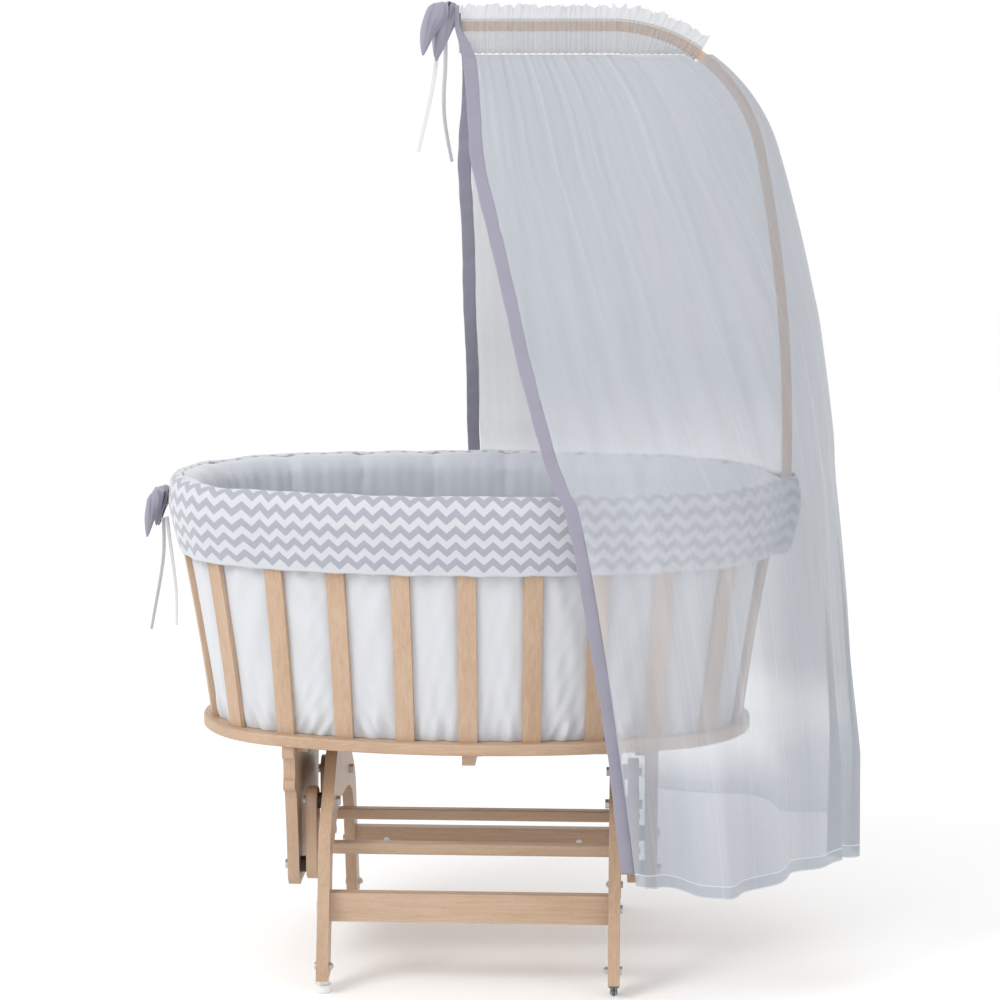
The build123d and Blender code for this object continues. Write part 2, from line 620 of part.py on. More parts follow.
def chevron_band():
    """The fabric band round the outside of the rim, with the pocket for the canopy pole."""
    gap = 2.5
    levels = [(BAND_Z, flare(BAND_Z) + gap + BAND_THICK),
              (RING_Z, FLARE_TOP + gap + BAND_THICK),
              (TOP_Z, FLARE_TOP + gap + BAND_THICK)]
    band = flared_ring(levels, BAND_THICK)
    half = max(POLE_WIDTH, SLAT_WIDTH) / 2 + 2
    x_low = FOOT_A + flare(BAND_Z) + gap
    shell = block((x_low, POCKET_OUT + BAND_THICK), (-half - BAND_THICK, half + BAND_THICK),
                  (BAND_Z, TOP_Z))
    room = block((x_low - 30, POCKET_OUT), (-half, half), (BAND_Z - 1, TOP_Z + 1))
    hollow = loft([oval(offset - BAND_THICK, z) for z, offset in levels], ruled=True)
    return band + (shell - hollow) - room


# ---------------------------------------------------------------- canopy pole
def upper_screw_z():
    """Height of the screw from the pole into the rim ring."""
    return RING_Z + RING_THICK / 2


def lower_screw_z():
    """Height of the screw from the pole into its block."""
    return BAND_Z + 28


def pole_curve(offset, end_deg=None):
    """Edges of the pole's line at an offset outwards, from the tip downwards."""
    level = POLE_TOP_Z + offset
    edges = [Line((POLE_TIP_X, level), (BEND_X, level))]
    last = POLE_LEAN_DEG if end_deg is None else end_deg
    edges.append(CenterArc((BEND_X, BEND_Z), POLE_BEND_R + offset, last, 90 - last))
    if end_deg is None:
        edges.append(CenterArc((LEAN_X, LEAN_Z), POLE_LEAN_R + offset, 0, POLE_LEAN_DEG))
        foot = BAND_Z + POLE_BOTTOM_GAP
        edges.append(Line((POLE_X + offset, LEAN_Z), (POLE_X + offset, foot)))
    return edges


def pole_strip(low, high, width, end_deg=None):
    """A strip that follows the pole between two offsets, as wide as given in Y."""
    lower, upper = pole_curve(low, end_deg), pole_curve(high, end_deg)
    if end_deg is None:
        foot = BAND_Z + POLE_BOTTOM_GAP
        close = Line((POLE_X + low, foot), (POLE_X + high, foot))
    else:
        ray = (math.cos(math.radians(end_deg)), math.sin(math.radians(end_deg)))
        ends = [(BEND_X + (POLE_BEND_R + offset) * ray[0], BEND_Z + (POLE_BEND_R + offset) * ray[1])
                for offset in (low, high)]
        close = Line(*ends)
    tip = Line((POLE_TIP_X, POLE_TOP_Z + low), (POLE_TIP_X, POLE_TOP_Z + high))
    outline = make_face(lower + upper + [close, tip])
    return extrude(Plane.XZ * outline, width / 2, both=True)


def canopy_pole():
    """The bent wooden pole that carries the net."""
    pole = pole_strip(-POLE_THICK / 2, POLE_THICK / 2, POLE_WIDTH)
    for z in (upper_screw_z(), lower_screw_z()):
        pole -= rod_x(POLE_SCREW_R + HOLE_CLEAR, POLE_X - POLE_THICK, POLE_X + POLE_THICK, 0, z)
    return pole


def pole_screws():
    """The two screws that hold the pole."""
    out = POLE_X + POLE_THICK / 2
    screws = []
    for z in (upper_screw_z(), lower_screw_z()):
        shank = rod_x(POLE_SCREW_R, out - 34, out, 0, z)
        screws.append(shank + rod_x(5, out, out + 3, 0, z))
    return screws[0] + screws[1]


def pole_block(slat):
    """The block that fills the space between the end slat and the pole."""
    z = lower_screw_z()
    inner = FOOT_A + flare(z) - SLAT_THICK / 2
    body = block((inner, POLE_X - POLE_THICK / 2), (-SLAT_WIDTH / 2, SLAT_WIDTH / 2), (z - 14, z + 14))
    return body - slat - pole_screws()


# ---------------------------------------------------------------- net
def pole_outside(z):
    """X of the pole's outer face at a height."""
    bend_low = BEND_Z + POLE_BEND_R * math.sin(math.radians(POLE_LEAN_DEG))
    if z > bend_low:
        r = POLE_BEND_R + POLE_THICK / 2
        return BEND_X + math.sqrt(max(r ** 2 - (z - BEND_Z) ** 2, 0))
    if z > LEAN_Z:
        r = POLE_LEAN_R + POLE_THICK / 2
        return LEAN_X + math.sqrt(r ** 2 - (z - LEAN_Z) ** 2)
    return POLE_X + POLE_THICK / 2


def net_spread(down):
    """Share of the full half-width at a share of the way from the casing down to the rim.

    It grows slowly under the pole and quickly just above the rim, as in a net that hangs
    from a line and is pushed out by the rim.
    """
    known = ((0, 0.047), (0.25, 0.16), (0.45, 0.36), (0.70, 0.60), (0.95, 0.89), (1, 1))
    for (d0, s0), (d1, s1) in zip(known, known[1:]):
        if down <= d1:
            return s0 + (s1 - s0) * (down - d0) / (d1 - d0)
    return 1.0


def net_levels():
    """(z, spread, x of the near edge, x of the far edge, x of the right end), top to hem."""
    levels = []
    for down in (0, 0.05, 0.11, 0.17, 0.25, 0.35, 0.45, 0.58, 0.70, 0.82, 0.95, 1):
        z = NET_TOP_Z + (NET_RIM_Z - NET_TOP_Z) * down
        share = net_spread(down)
        levels.append((z, NET_HALF_WIDTH * share, POLE_TIP_X + 12 + NET_EDGE_DRIFT * share))
    rim_edge = POLE_TIP_X + 12 + NET_EDGE_DRIFT
    for z in ((NET_RIM_Z + NET_FAR_HEM_Z) / 2, NET_FAR_HEM_Z, NET_HEM_Z):
        down = (NET_RIM_Z - z) / (NET_RIM_Z - NET_HEM_Z)
        levels.append((z, NET_HALF_WIDTH, rim_edge + NET_SKIRT_DRIFT * down ** 0.75))
    return [(z, spread, edge, POLE_TIP_X + 16, net_right(z)) for z, spread, edge in levels]


def net_right(z):
    """X of the net's right end at a height."""
    share = (NET_TOP_Z - z) / (NET_TOP_Z - NET_HEM_Z)
    gap = NET_END_GAP_TOP + (NET_END_GAP_HEM - NET_END_GAP_TOP) * min(1.0, share * 1.15)
    return pole_outside(z) + gap


def strip_face(x_low, x_high, y_low, y_high, z):
    """A flat rectangle at a height."""
    return Pos((x_low + x_high) / 2, (y_low + y_high) / 2, z) * Rectangle(x_high - x_low, abs(y_high - y_low))


def side_levels(end):
    """The levels that one side of the net reaches: the far side's hem is higher."""
    return net_levels() if end == FRONT else net_levels()[:-1]


def side_panel(end):
    """The near or far side of the net, between its edge and the round end."""
    faces = []
    for z, spread, near, far, right in side_levels(end):
        edge = near if end == FRONT else far
        faces.append(strip_face(edge, right - spread, end * spread, end * (spread + NET_THICK), z))
    return loft(faces, ruled=True)


def side_trim(end):
    """The trim along the front edge of one side of the net."""
    faces = []
    for z, spread, near, far, _ in side_levels(end):
        edge = near if end == FRONT else far
        faces.append(strip_face(edge - TRIM_WIDTH, edge, end * spread, end * (spread + NET_THICK), z))
    return loft(faces, ruled=True)


def end_panel():
    """The round right end of the net."""
    faces = []
    for z, spread, _, _, right in net_levels():
        x, outer = right - spread, spread + NET_THICK
        edges = [ThreePointArc((x, -outer), (x + outer, 0), (x, outer)),
                 Line((x, outer), (x, spread)),
                 ThreePointArc((x, spread), (x + spread, 0), (x, -spread)),
                 Line((x, -spread), (x, -outer))]
        faces.append(Pos(0, 0, z) * make_face(edges))
    return loft(faces, ruled=True)


def net_casing():
    """The gathered casing round the level stretch of the pole."""
    half = POLE_THICK / 2
    inside = POLE_WIDTH + 1
    outside = inside + 2 * CASING_THICK
    sleeve = pole_strip(-CASING_DROP, half + 0.5 + CASING_THICK, outside, HEADER_BEND_DEG)
    room = pole_strip(-half - 0.5, half + 0.5, inside, HEADER_BEND_DEG)
    return sleeve - room


def net_ruffle():
    """The thin ruffle that stands on top of the casing."""
    low = POLE_THICK / 2 + 0.5 + CASING_THICK
    return pole_strip(low, RUFFLE_TOP, 5, HEADER_BEND_DEG)


# ---------------------------------------------------------------- bows and ties
def bow(depth, height, width):
    """A bow seen along X: two drooping loops on a knot, as deep as given in X."""
    half, top = width / 2, height / 2
    loops = []
    for sign in (-1, 1):
        outline = make_face([
            Line((0, 8), (sign * half * 0.7, top)),
            ThreePointArc((sign * half * 0.7, top), (sign * half, top * 0.35), (sign * half * 0.8, -top)),
            Line((sign * half * 0.8, -top), (0, -8)),
            Line((0, -8), (0, 8)),
        ])
        loops.append(extrude(Plane.YZ * outline, depth))
    knot = block((0, depth), (-9, 9), (-11, 11))
    return loops[0] + loops[1] + knot


def rim_bow():
    """The bow at the left end of the rim."""
    return Pos(BOW_LEFT, 0, BAND_Z + BAND_HEIGHT / 2) * bow(BOW_DEPTH, BOW_HEIGHT, BOW_WIDTH)


def canopy_bow():
    """The bow at the tip of the canopy."""
    return Pos(CANOPY_BOW_X, 0, POLE_TOP_Z - 6) * bow(CANOPY_BOW_DEPTH, CANOPY_BOW_HEIGHT, 80.0)


def hung_from(x, z, drops):
    """A route whose points are given from the back of a bow at x and z."""
    return [(x + dx, dy, z + dz) for dx, dy, dz in drops]


# Routes of the four hanging ties, from the bow down to the free end.
RIM_BOW_Z = BAND_Z + BAND_HEIGHT / 2
RIM_TIE_A = hung_from(BOW_LEFT, RIM_BOW_Z, [
    (22, -5, -11.5), (25, -12, -55.5), (19, -17, -101.5), (11, -20, -143.5), (3, -22, -186.5)])
RIM_TIE_B = hung_from(BOW_LEFT, RIM_BOW_Z, [
    (26, 5, -11.5), (30, 9, -55.5), (35, 11, -99.5), (39, 12, -143.5), (37, 12, -186.5)])
CANOPY_BOW_X = POLE_TIP_X - SOFT_GAP - CANOPY_BOW_DEPTH
CANOPY_TIE_A = hung_from(CANOPY_BOW_X, POLE_TOP_Z - 6, [
    (20.5, -5, -11), (17.5, -10, -50), (10.5, -13, -93), (0.5, -15, -138), (-10.5, -17, -184)])
CANOPY_TIE_B = hung_from(CANOPY_BOW_X, POLE_TOP_Z - 6, [
    (30.5, 5, -11), (30.5, 9, -52), (26.5, 11, -96), (28.5, 12, -148), (39.5, 12, -199)])


def tie(name, points):
    """A thin hanging tie: straight runs joined by large tangent arcs."""
    radii = []
    for before, at, after in zip(points, points[1:], points[2:]):
        first, second = Vector(*at) - Vector(*before), Vector(*after) - Vector(*at)
        turn = math.radians(first.get_angle(second))
        radii.append(0.45 * min(first.length, second.length) / math.tan(turn / 2))
    path = FilletPolyline(*points, radius=radii)
    start = Plane(origin=path @ 0, z_dir=path % 0)
    tube = sweep(start * Circle(TIE_R), path=path)
    ratio = tube.volume / (math.pi * TIE_R ** 2 * path.length)
    print(f"{name}: length {path.length:.1f}, radii {[round(r) for r in radii]}, volume ratio {ratio:.4f}")
    return tube


# ---------------------------------------------------------------- nodes
def build_nodes():
    """Every sub-part, by node name."""
    nodes = {}
    for name, side in SIDES.items():
        nodes[f"{name}_arch"] = arch(side)
        nodes[f"{name}_hanger_board"] = hanger_board(side)
    for name, end in ENDS.items():
        nodes[f"{name}_rail"] = lower_rail(end)
        nodes[f"{name}_castor_fork"] = castor_fork(end)
        nodes[f"{name}_castor_axle"] = castor_axle(end)
        nodes[f"{name}_castor_wheel"] = castor_wheel(end)
        nodes[f"{name}_stretcher"] = stretcher(end)
        nodes[f"{name}_stretcher_screws"] = Compound(
            [stretcher_screw(side, end) for side in SIDES.values()])
        for side_name, side in SIDES.items():
            nodes[f"{name}_{side_name}_link"] = link(side, end)
    nodes["glides"] = Compound([glide(end) for end in ENDS.values()])
    nodes["castor_sockets"] = Compound([castor_socket(end) for end in ENDS.values()])
    nodes["hanger_cleats"] = Compound([hanger_cleat(side) for side in SIDES.values()])
    fasteners = {"rail_bolts": (rail_bolt, barrel_nut), "foot_bolts": (foot_bolt, foot_nut),
                 "upper_pivot_bolts": (upper_bolt, upper_nut), "upper_spacers": (upper_spacer,),
                 "lower_pivot_bolts": (lower_bolt, lower_nut), "lower_spacers": (lower_spacer,)}
    for name, functions in fasteners.items():
        nodes[name] = Compound([piece for function in functions for piece in corners(function)])
    nodes["base_board"] = base_board()
    nodes["cross_batten"] = cross_batten()
    blank = slat_blank()
    half = SLAT_COUNT // 2
    nodes["slats_middle"] = Compound([placed_slat(blank, index) for index in (0, half)])
    for number in range(1, (half + 1) // 2):
        stations = (number, half - number, half + number, SLAT_COUNT - number)
        nodes[f"slats_ring_{number}"] = Compound([placed_slat(blank, index) for index in stations])
    nodes["end_slat"] = end_slat(blank)
    nodes["rim_ring"] = rim_ring()
    nodes["mattress"] = mattress()
    nodes["liner"] = liner()
    nodes["bumper"] = bumper()
    nodes["chevron_band"] = chevron_band()
    nodes["canopy_pole"] = canopy_pole()
    nodes["pole_block"] = pole_block(nodes["end_slat"])
    nodes["pole_screws"] = pole_screws()
    nodes["net_near"] = side_panel(FRONT)
    nodes["net_far"] = side_panel(REAR)
    nodes["net_end"] = end_panel()
    nodes["near_trim"] = side_trim(FRONT)
    nodes["far_trim"] = side_trim(REAR)
    nodes["net_casing"] = net_casing()
    nodes["net_ruffle"] = net_ruffle()
    nodes["rim_bow"] = rim_bow()
    nodes["canopy_bow"] = canopy_bow()
    nodes["rim_tie_a"] = tie("rim_tie_a", RIM_TIE_A)
    nodes["rim_tie_b"] = tie("rim_tie_b", RIM_TIE_B)
    nodes["canopy_tie_a"] = tie("canopy_tie_a", CANOPY_TIE_A)
    nodes["canopy_tie_b"] = tie("canopy_tie_b", CANOPY_TIE_B)
    return nodes


def main():
    """Write one STEP file per node."""
    os.makedirs("parts", exist_ok=True)
    nodes = build_nodes()
    for name, shape in nodes.items():
        moved = Pos(-ORIGIN_X, 0, 0) * shape
        export_step(moved, f"parts/{name}.step")
    print(f"{len(nodes)} nodes, origin at x = {ORIGIN_X:.2f} of the stand")


main()
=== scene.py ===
# %% [markdown]
# # A gliding bassinet with a net
# The wooden and metal parts come ready-made from the imported model. This lesson gives each of
# them a finish, and makes every fabric piece as a surface worked out with numpy.
# All lengths are in metres, with +X towards the canopy pole, +Y to the rear and +Z up.

# %% Open the model
import math

import bpy
import numpy as np
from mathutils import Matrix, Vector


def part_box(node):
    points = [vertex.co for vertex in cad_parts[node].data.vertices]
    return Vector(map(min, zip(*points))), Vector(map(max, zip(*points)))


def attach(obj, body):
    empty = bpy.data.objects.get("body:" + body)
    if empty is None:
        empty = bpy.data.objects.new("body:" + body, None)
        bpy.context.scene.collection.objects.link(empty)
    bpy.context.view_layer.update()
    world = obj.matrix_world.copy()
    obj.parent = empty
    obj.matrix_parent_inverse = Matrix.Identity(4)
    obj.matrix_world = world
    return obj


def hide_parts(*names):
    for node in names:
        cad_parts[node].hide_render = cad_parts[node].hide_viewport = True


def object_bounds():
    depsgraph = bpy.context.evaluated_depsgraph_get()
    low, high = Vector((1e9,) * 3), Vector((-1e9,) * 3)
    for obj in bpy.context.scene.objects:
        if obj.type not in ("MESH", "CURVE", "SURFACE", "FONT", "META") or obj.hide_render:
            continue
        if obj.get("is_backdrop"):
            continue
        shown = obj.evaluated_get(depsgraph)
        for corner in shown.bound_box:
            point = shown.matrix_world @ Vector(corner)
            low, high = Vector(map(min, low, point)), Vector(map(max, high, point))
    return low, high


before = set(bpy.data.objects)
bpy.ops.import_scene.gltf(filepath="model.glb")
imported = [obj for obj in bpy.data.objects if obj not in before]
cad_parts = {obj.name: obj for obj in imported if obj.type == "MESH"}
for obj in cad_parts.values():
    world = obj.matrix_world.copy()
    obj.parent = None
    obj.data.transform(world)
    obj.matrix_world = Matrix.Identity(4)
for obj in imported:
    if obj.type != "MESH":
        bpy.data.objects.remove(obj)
cad_box = [list(corner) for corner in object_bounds()]
print("nodes:", len(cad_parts), "box:", [[round(v, 3) for v in c] for c in cad_box])

# %% [markdown]
# ## Sizes
# The frame already holds the places of things, so most sizes are read from it. Only the few
# that a box can't tell, such as the radius of the oval's ends, are repeated here.

# %% Sizes read from the frame
base_low, base_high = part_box("base_board")
slat_low, slat_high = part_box("slats_middle")
band_low, band_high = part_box("chevron_band")
mattress_low, mattress_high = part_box("mattress")
net_low, net_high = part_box("net_near")
ring_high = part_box("rim_ring")[1]
pole_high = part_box("canopy_pole")[1]

CENTRE_X = (base_low.x + base_high.x) / 2
SLAT_INSET = 0.012
BOX_SLACK = 0.0002
FOOT_A = (base_high.x - base_low.x) / 2 - SLAT_INSET + BOX_SLACK
FOOT_B = (base_high.y - base_low.y) / 2 - SLAT_INSET + BOX_SLACK
FOOT_R = 0.176
SLAT_COUNT = 22
FLOOR_Z = slat_low.z
SLAT_HEIGHT = slat_high.z - slat_low.z
SLAT_THICK = 0.008
FLARE_TOP = 0.054
FLARE_BOW = 0.0035
RIM_Z = ring_high.z
TOP_Z = band_high.z
BAND_Z = band_low.z
print("basket centre x", round(CENTRE_X, 4), "foot oval", round(FOOT_A, 4), round(FOOT_B, 4))

# %% [markdown]
# ## The oval
# Every ring of the basket is the same oval, grown outwards. It has four arcs: two long flat
# ones at the sides and two tight ones at the ends. A point of it is found from how far round
# it lies, and growing it by an offset just moves the point along its outward normal.

# %% A point on the oval
SIDE_R = ((FOOT_A - FOOT_R) ** 2 + FOOT_B ** 2 - FOOT_R ** 2) / (2 * (FOOT_B - FOOT_R))
TURN = math.atan2(SIDE_R - FOOT_B, FOOT_A - FOOT_R)
SIDE_LENGTH = (math.pi / 2 - TURN) * SIDE_R
QUARTER = SIDE_LENGTH + TURN * FOOT_R


def oval(share, offset):
    """Points and normals at shares of the way round, from the front middle towards +X.

    Along a side arc the angle falls by length / SIDE_R, along an end arc by length / FOOT_R;
    the other three quarters are mirror images. Point = foot point + offset * normal.
    """
    s = (np.asarray(share, float) % 1.0) * 4 * QUARTER
    quadrant = np.floor(s / QUARTER)
    along = s - quadrant * QUARTER
    along = np.where(quadrant % 2 == 1, QUARTER - along, along)
    on_side = along < SIDE_LENGTH
    angle = np.where(on_side, math.pi / 2 - along / SIDE_R, TURN - (along - SIDE_LENGTH) / FOOT_R)
    x = np.where(on_side, SIDE_R * np.cos(angle), FOOT_A - FOOT_R + FOOT_R * np.cos(angle))
    y = np.where(on_side, SIDE_R - FOOT_B - SIDE_R * np.sin(angle), -FOOT_R * np.sin(angle))
    nx, ny = np.cos(angle), -np.sin(angle)
    rear = (quadrant == 1) | (quadrant == 2)
    left = (quadrant == 2) | (quadrant == 3)
    y, ny = np.where(rear, -y, y), np.where(rear, -ny, ny)
    x, nx = np.where(left, -x, x), np.where(left, -nx, nx)
    return CENTRE_X + x + offset * nx, y + offset * ny, nx, ny


def flare(z):
    """How far the slats lean out at a height: a straight lean minus a shallow bow."""
    share = (z - FLOOR_Z) / SLAT_HEIGHT
    return FLARE_TOP * share - 4 * FLARE_BOW * share * (1 - share)


print("round the foot of the slats:", round(4 * QUARTER, 3), "m")

# %% [markdown]
# ## From a grid of points to a mesh
# A surface is a grid of points, rows by columns. Neighbours in the grid make one square face.
# A grid can close on itself either way, as round a ring or round a padded roll.

# %% Grid to mesh


def grid_piece(name, points, uv=None, wrap_rows=False, wrap_columns=False, fields=None):
    """An object from points[row, column, 3]: face = (r, c), (r+1, c), (r+1, c+1), (r, c+1)."""
    rows, columns = points.shape[:2]
    r = np.arange(rows if wrap_rows else rows - 1)[:, None]
    c = np.arange(columns if wrap_columns else columns - 1)[None, :]
    r2, c2 = (r + 1) % rows, (c + 1) % columns
    faces = np.stack([r * columns + c, r2 * columns + c, r2 * columns + c2, r * columns + c2], -1)
    mesh = bpy.data.meshes.new(name)
    mesh.from_pydata(points.reshape(-1, 3).tolist(), [], faces.reshape(-1, 4).tolist())
    mesh.polygons.foreach_set("use_smooth", np.ones(len(mesh.polygons), bool))
    if uv is not None:
        layer = mesh.uv_layers.new(name="cloth")
        u, v = uv
        us = np.stack([u[r, c], u[r2, c], u[r2, c2], u[r, c2]], -1)
        vs = np.stack([v[r, c], v[r2, c], v[r2, c2], v[r, c2]], -1)
        if wrap_rows:
            step = np.ptp(u) * rows / (rows - 1)
            us[-1, :, 1:3] = us[-1, :, 0:1] * 0 + u.min() + step
        flat = np.stack([us, vs], -1).reshape(-1)
        layer.data.foreach_set("uv", flat.astype(np.float32))
    for field, values in (fields or {}).items():
        attribute = mesh.attributes.new(field, "FLOAT", "POINT")
        attribute.data.foreach_set("value", values.reshape(-1).astype(np.float32))
    mesh.update()
    piece = bpy.data.objects.new(name, mesh)
    bpy.context.scene.collection.objects.link(piece)
    return piece


def wander(x, seed, waves=5, low=1.0, high=6.0):
    """A smooth wandering curve of x in 0..1: a sum of sines whose counts and starts come
    from a fixed seed, scaled to about -1..1."""
    rng = np.random.default_rng(seed)
    counts = rng.uniform(low, high, waves)
    starts = rng.uniform(0, 2 * math.pi, waves)
    total = sum(np.sin(2 * math.pi * k * x + p) for k, p in zip(counts, starts))
    return total / math.sqrt(waves * 2)


def smooth_step(low, high, x):
    """0 below low, 1 above high, and 3t^2 - 2t^3 in between."""
    t = np.clip((x - low) / (high - low), 0, 1)
    return t * t * (3 - 2 * t)


# %% [markdown]
# ## Shader maths as Python
# A finish is a small tree of nodes. Writing it as Python expressions keeps it readable: the
# class below wraps one output of a node, and each operator adds one Math node.

# %% Shader maths


class Field:
    """A number that changes over a surface. An operator on it adds one Math node."""

    def __init__(self, finish, socket):
        self.finish, self.socket = finish, socket

    def maths(self, operation, *others, swap=False):
        values = [self] + list(others)
        if swap:
            values = values[::-1]
        return self.finish.field("ShaderNodeMath", {"operation": operation}, values)

    def __add__(self, other):
        return self.maths("ADD", other)

    def __sub__(self, other):
        return self.maths("SUBTRACT", other)

    def __mul__(self, other):
        return self.maths("MULTIPLY", other)

    def __truediv__(self, other):
        return self.maths("DIVIDE", other)

    def __rsub__(self, other):
        return self.maths("SUBTRACT", other, swap=True)

    __radd__, __rmul__ = __add__, __mul__

    def absolute(self):
        return self.maths("ABSOLUTE")

    def wave(self):
        return self.maths("SINE")

    def part(self):
        return self.maths("FRACT")

    def step(self, low, high):
        """0 below low, 1 above high, smooth in between."""
        node = self.finish.node("ShaderNodeMapRange", {"interpolation_type": "SMOOTHSTEP"},
                                [self, low, high, 0.0, 1.0])
        return Field(self.finish, node.outputs[0])


class Finish:
    """A material with one Principled shader, and short calls that add nodes to it."""

    def __init__(self, name, colour, roughness, **constants):
        self.material = bpy.data.materials.new(name)
        self.material.use_nodes = True
        self.tree = self.material.node_tree
        self.shader = self.tree.nodes["Principled BSDF"]
        self.set("Base Color", (*colour, 1.0))
        self.set("Roughness", roughness)
        for socket, value in constants.items():
            self.set(socket.replace("_", " "), value)

    def node(self, kind, settings=None, values=()):
        """A node of a type: its settings first, then the values or links of its sockets."""
        made = self.tree.nodes.new(kind)
        for key, value in (settings or {}).items():
            setattr(made, key, value)
        pairs = values.items() if isinstance(values, dict) else enumerate(values)
        for key, value in pairs:
            self.plug(made.inputs[key], value)
        return made

    def plug(self, socket, value):
        if isinstance(value, Field):
            self.tree.links.new(value.socket, socket)
        elif isinstance(value, bpy.types.NodeSocket):
            self.tree.links.new(value, socket)
        else:
            socket.default_value = value

    def field(self, kind, settings=None, values=(), output=0):
        return Field(self, self.node(kind, settings, values).outputs[output])

    def set(self, name, value):
        self.plug(self.shader.inputs[name], value)

    def place(self, scale=(1, 1, 1), turn=(0, 0, 0), cloth=False):
        """Object coordinates in metres, or the cloth's own map, stretched by a scale."""
        if cloth:
            source = self.node("ShaderNodeUVMap", {"uv_map": "cloth"}).outputs[0]
        else:
            source = self.node("ShaderNodeTexCoord").outputs["Object"]
        values = {"Vector": source, "Scale": scale, "Rotation": turn}
        return self.node("ShaderNodeMapping", {}, values).outputs[0]

    def axes(self, cloth=False):
        """The coordinates as three Fields."""
        split = self.node("ShaderNodeSeparateXYZ", {}, [self.place(cloth=cloth)])
        return [Field(self, out) for out in split.outputs]

    def noise(self, vector, scale=1.0, detail=2.0, roughness=0.5):
        values = {"Vector": vector, "Scale": scale, "Detail": detail, "Roughness": roughness}
        return self.field("ShaderNodeTexNoise", {}, values)

    def attribute(self, name):
        return self.field("ShaderNodeAttribute", {"attribute_name": name}, output=2)

    def blend(self, share, first, second):
        """A colour between two, by a share."""
        mix = self.node("ShaderNodeMix", {"data_type": "RGBA"})
        self.plug(mix.inputs[0], share)
        for socket, colour in ((mix.inputs[6], first), (mix.inputs[7], second)):
            self.plug(socket, (*colour, 1.0) if isinstance(colour, tuple) else colour)
        return mix.outputs[2]

    def relief(self, height, depth, strength=1.0):
        """Bumps of a depth in metres where height goes from 0 to 1."""
        values = {"Strength": strength, "Distance": depth, "Height": height}
        self.set("Normal", self.node("ShaderNodeBump", {}, values).outputs[0])


def dress(names, finish):
    """Give a finish to CAD nodes by name."""
    for name in names:
        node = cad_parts[name]
        node.data.materials.clear()
        node.data.materials.append(finish.material)


def put(piece, body, finish, slot, *nodes):
    """A new piece rides on a body, wears a finish, and stands for CAD nodes."""
    piece.data.materials.append(finish.material)
    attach(piece, body)
    if nodes:
        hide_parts(*nodes)
    return piece


# %% [markdown]
# ## Camera and ties
# The camera stands a little above the rim and looks slightly down, with a long lens, so that
# the oval rim shows as a flat ellipse. The ties are the only cords: four narrow white tapes
# that hang from the two bows.

# %% Camera
camera_data = bpy.data.cameras.new("camera")
camera_data.lens = 97.4
camera_data.sensor_width = 36.0
camera = bpy.data.objects.new("camera", camera_data)
camera.location = (0.2386 + CENTRE_X, -4.1758, 1.3455)
camera.rotation_euler = (math.pi / 2 - 0.1474, 0.0, 0.0481)
bpy.context.scene.collection.objects.link(camera)
bpy.context.scene.camera = camera

# %% Tape finish
tape = Finish("white_tape", (0.76, 0.76, 0.77), 0.8, Sheen_Weight=0.3)
tape_weave = tape.noise(tape.place((2200, 2200, 700)), 1.0, 2.0)
tape.set("Base Color", tape.blend(tape_weave, (0.50, 0.50, 0.515), (0.65, 0.65, 0.67)))
tape.relief(tape_weave, 0.0003, 0.6)

# %% The four ties
TAPE_WIDTH = 0.0062
TAPE_THICK = 0.0012
MM = 1000
TIES = [  # name, length, twist at the start and the end, route in mm from the basket's middle
    ("rim_tie_a", 0.1778, (1.5, 1.0),
     [(-492, -5, 694), (-489, -12, 650), (-495, -17, 604), (-503, -20, 562), (-511, -22, 519)]),
    ("rim_tie_b", 0.1759, (0.8, 1.7),
     [(-488, 5, 694), (-484, 9, 650), (-479, 11, 606), (-475, 12, 562), (-477, 12, 519)]),
    ("canopy_tie_a", 0.1765, (1.0, 1.7),
     [(-56, -5, 1437), (-59, -10, 1398), (-66, -13, 1355), (-76, -15, 1310), (-87, -17, 1264)]),
    ("canopy_tie_b", 0.1894, (1.7, 0.8),
     [(-46, 5, 1437), (-46, 9, 1396), (-50, 11, 1352), (-48, 12, 1300), (-37, 12, 1249)]),
]


def tie(name, length, twist, route):
    """A flat tape along a smooth spline: the width is the curve's extrusion, both ways."""
    curve = bpy.data.curves.new(name + "_tape", "CURVE")
    curve.dimensions = "3D"
    curve.bevel_depth = TAPE_THICK / 2
    curve.bevel_resolution = 1
    curve.extrude = (TAPE_WIDTH - TAPE_THICK) / 2
    curve.use_fill_caps = True
    curve.resolution_u = 12
    spline = curve.splines.new("NURBS")
    spline.points.add(len(route) - 1)
    places = [(x / MM + CENTRE_X, y / MM, z / MM) for x, y, z in route]
    for index, place in enumerate(places):
        spline.points[index].co = (*place, 1)
        spline.points[index].tilt = twist[0] + (twist[1] - twist[0]) * index / (len(route) - 1)
    spline.order_u = 3
    spline.use_endpoint_u = True
    piece = bpy.data.objects.new(name + "_tape", curve)
    bpy.context.scene.collection.objects.link(piece)
    put(piece, "cradle", tape, "white_ribbon", name)
    return piece


ties = [tie(*row) for row in TIES]
print("ties:", [piece.name for piece in ties])

# %% [markdown]
# ## Beech
# The frame is pale lacquered beech. Its figure has three scales: a slow drift of tone from
# board to board, long fine streaks along the grain, and the short dark flecks that make beech
# easy to tell. Boards that are plywood also show their layers as thin lines on the edges.

# %% Wood finishes
PALE = (0.515, 0.372, 0.262)
WARM = (0.39, 0.242, 0.147)
FLECK = (0.28, 0.16, 0.09)


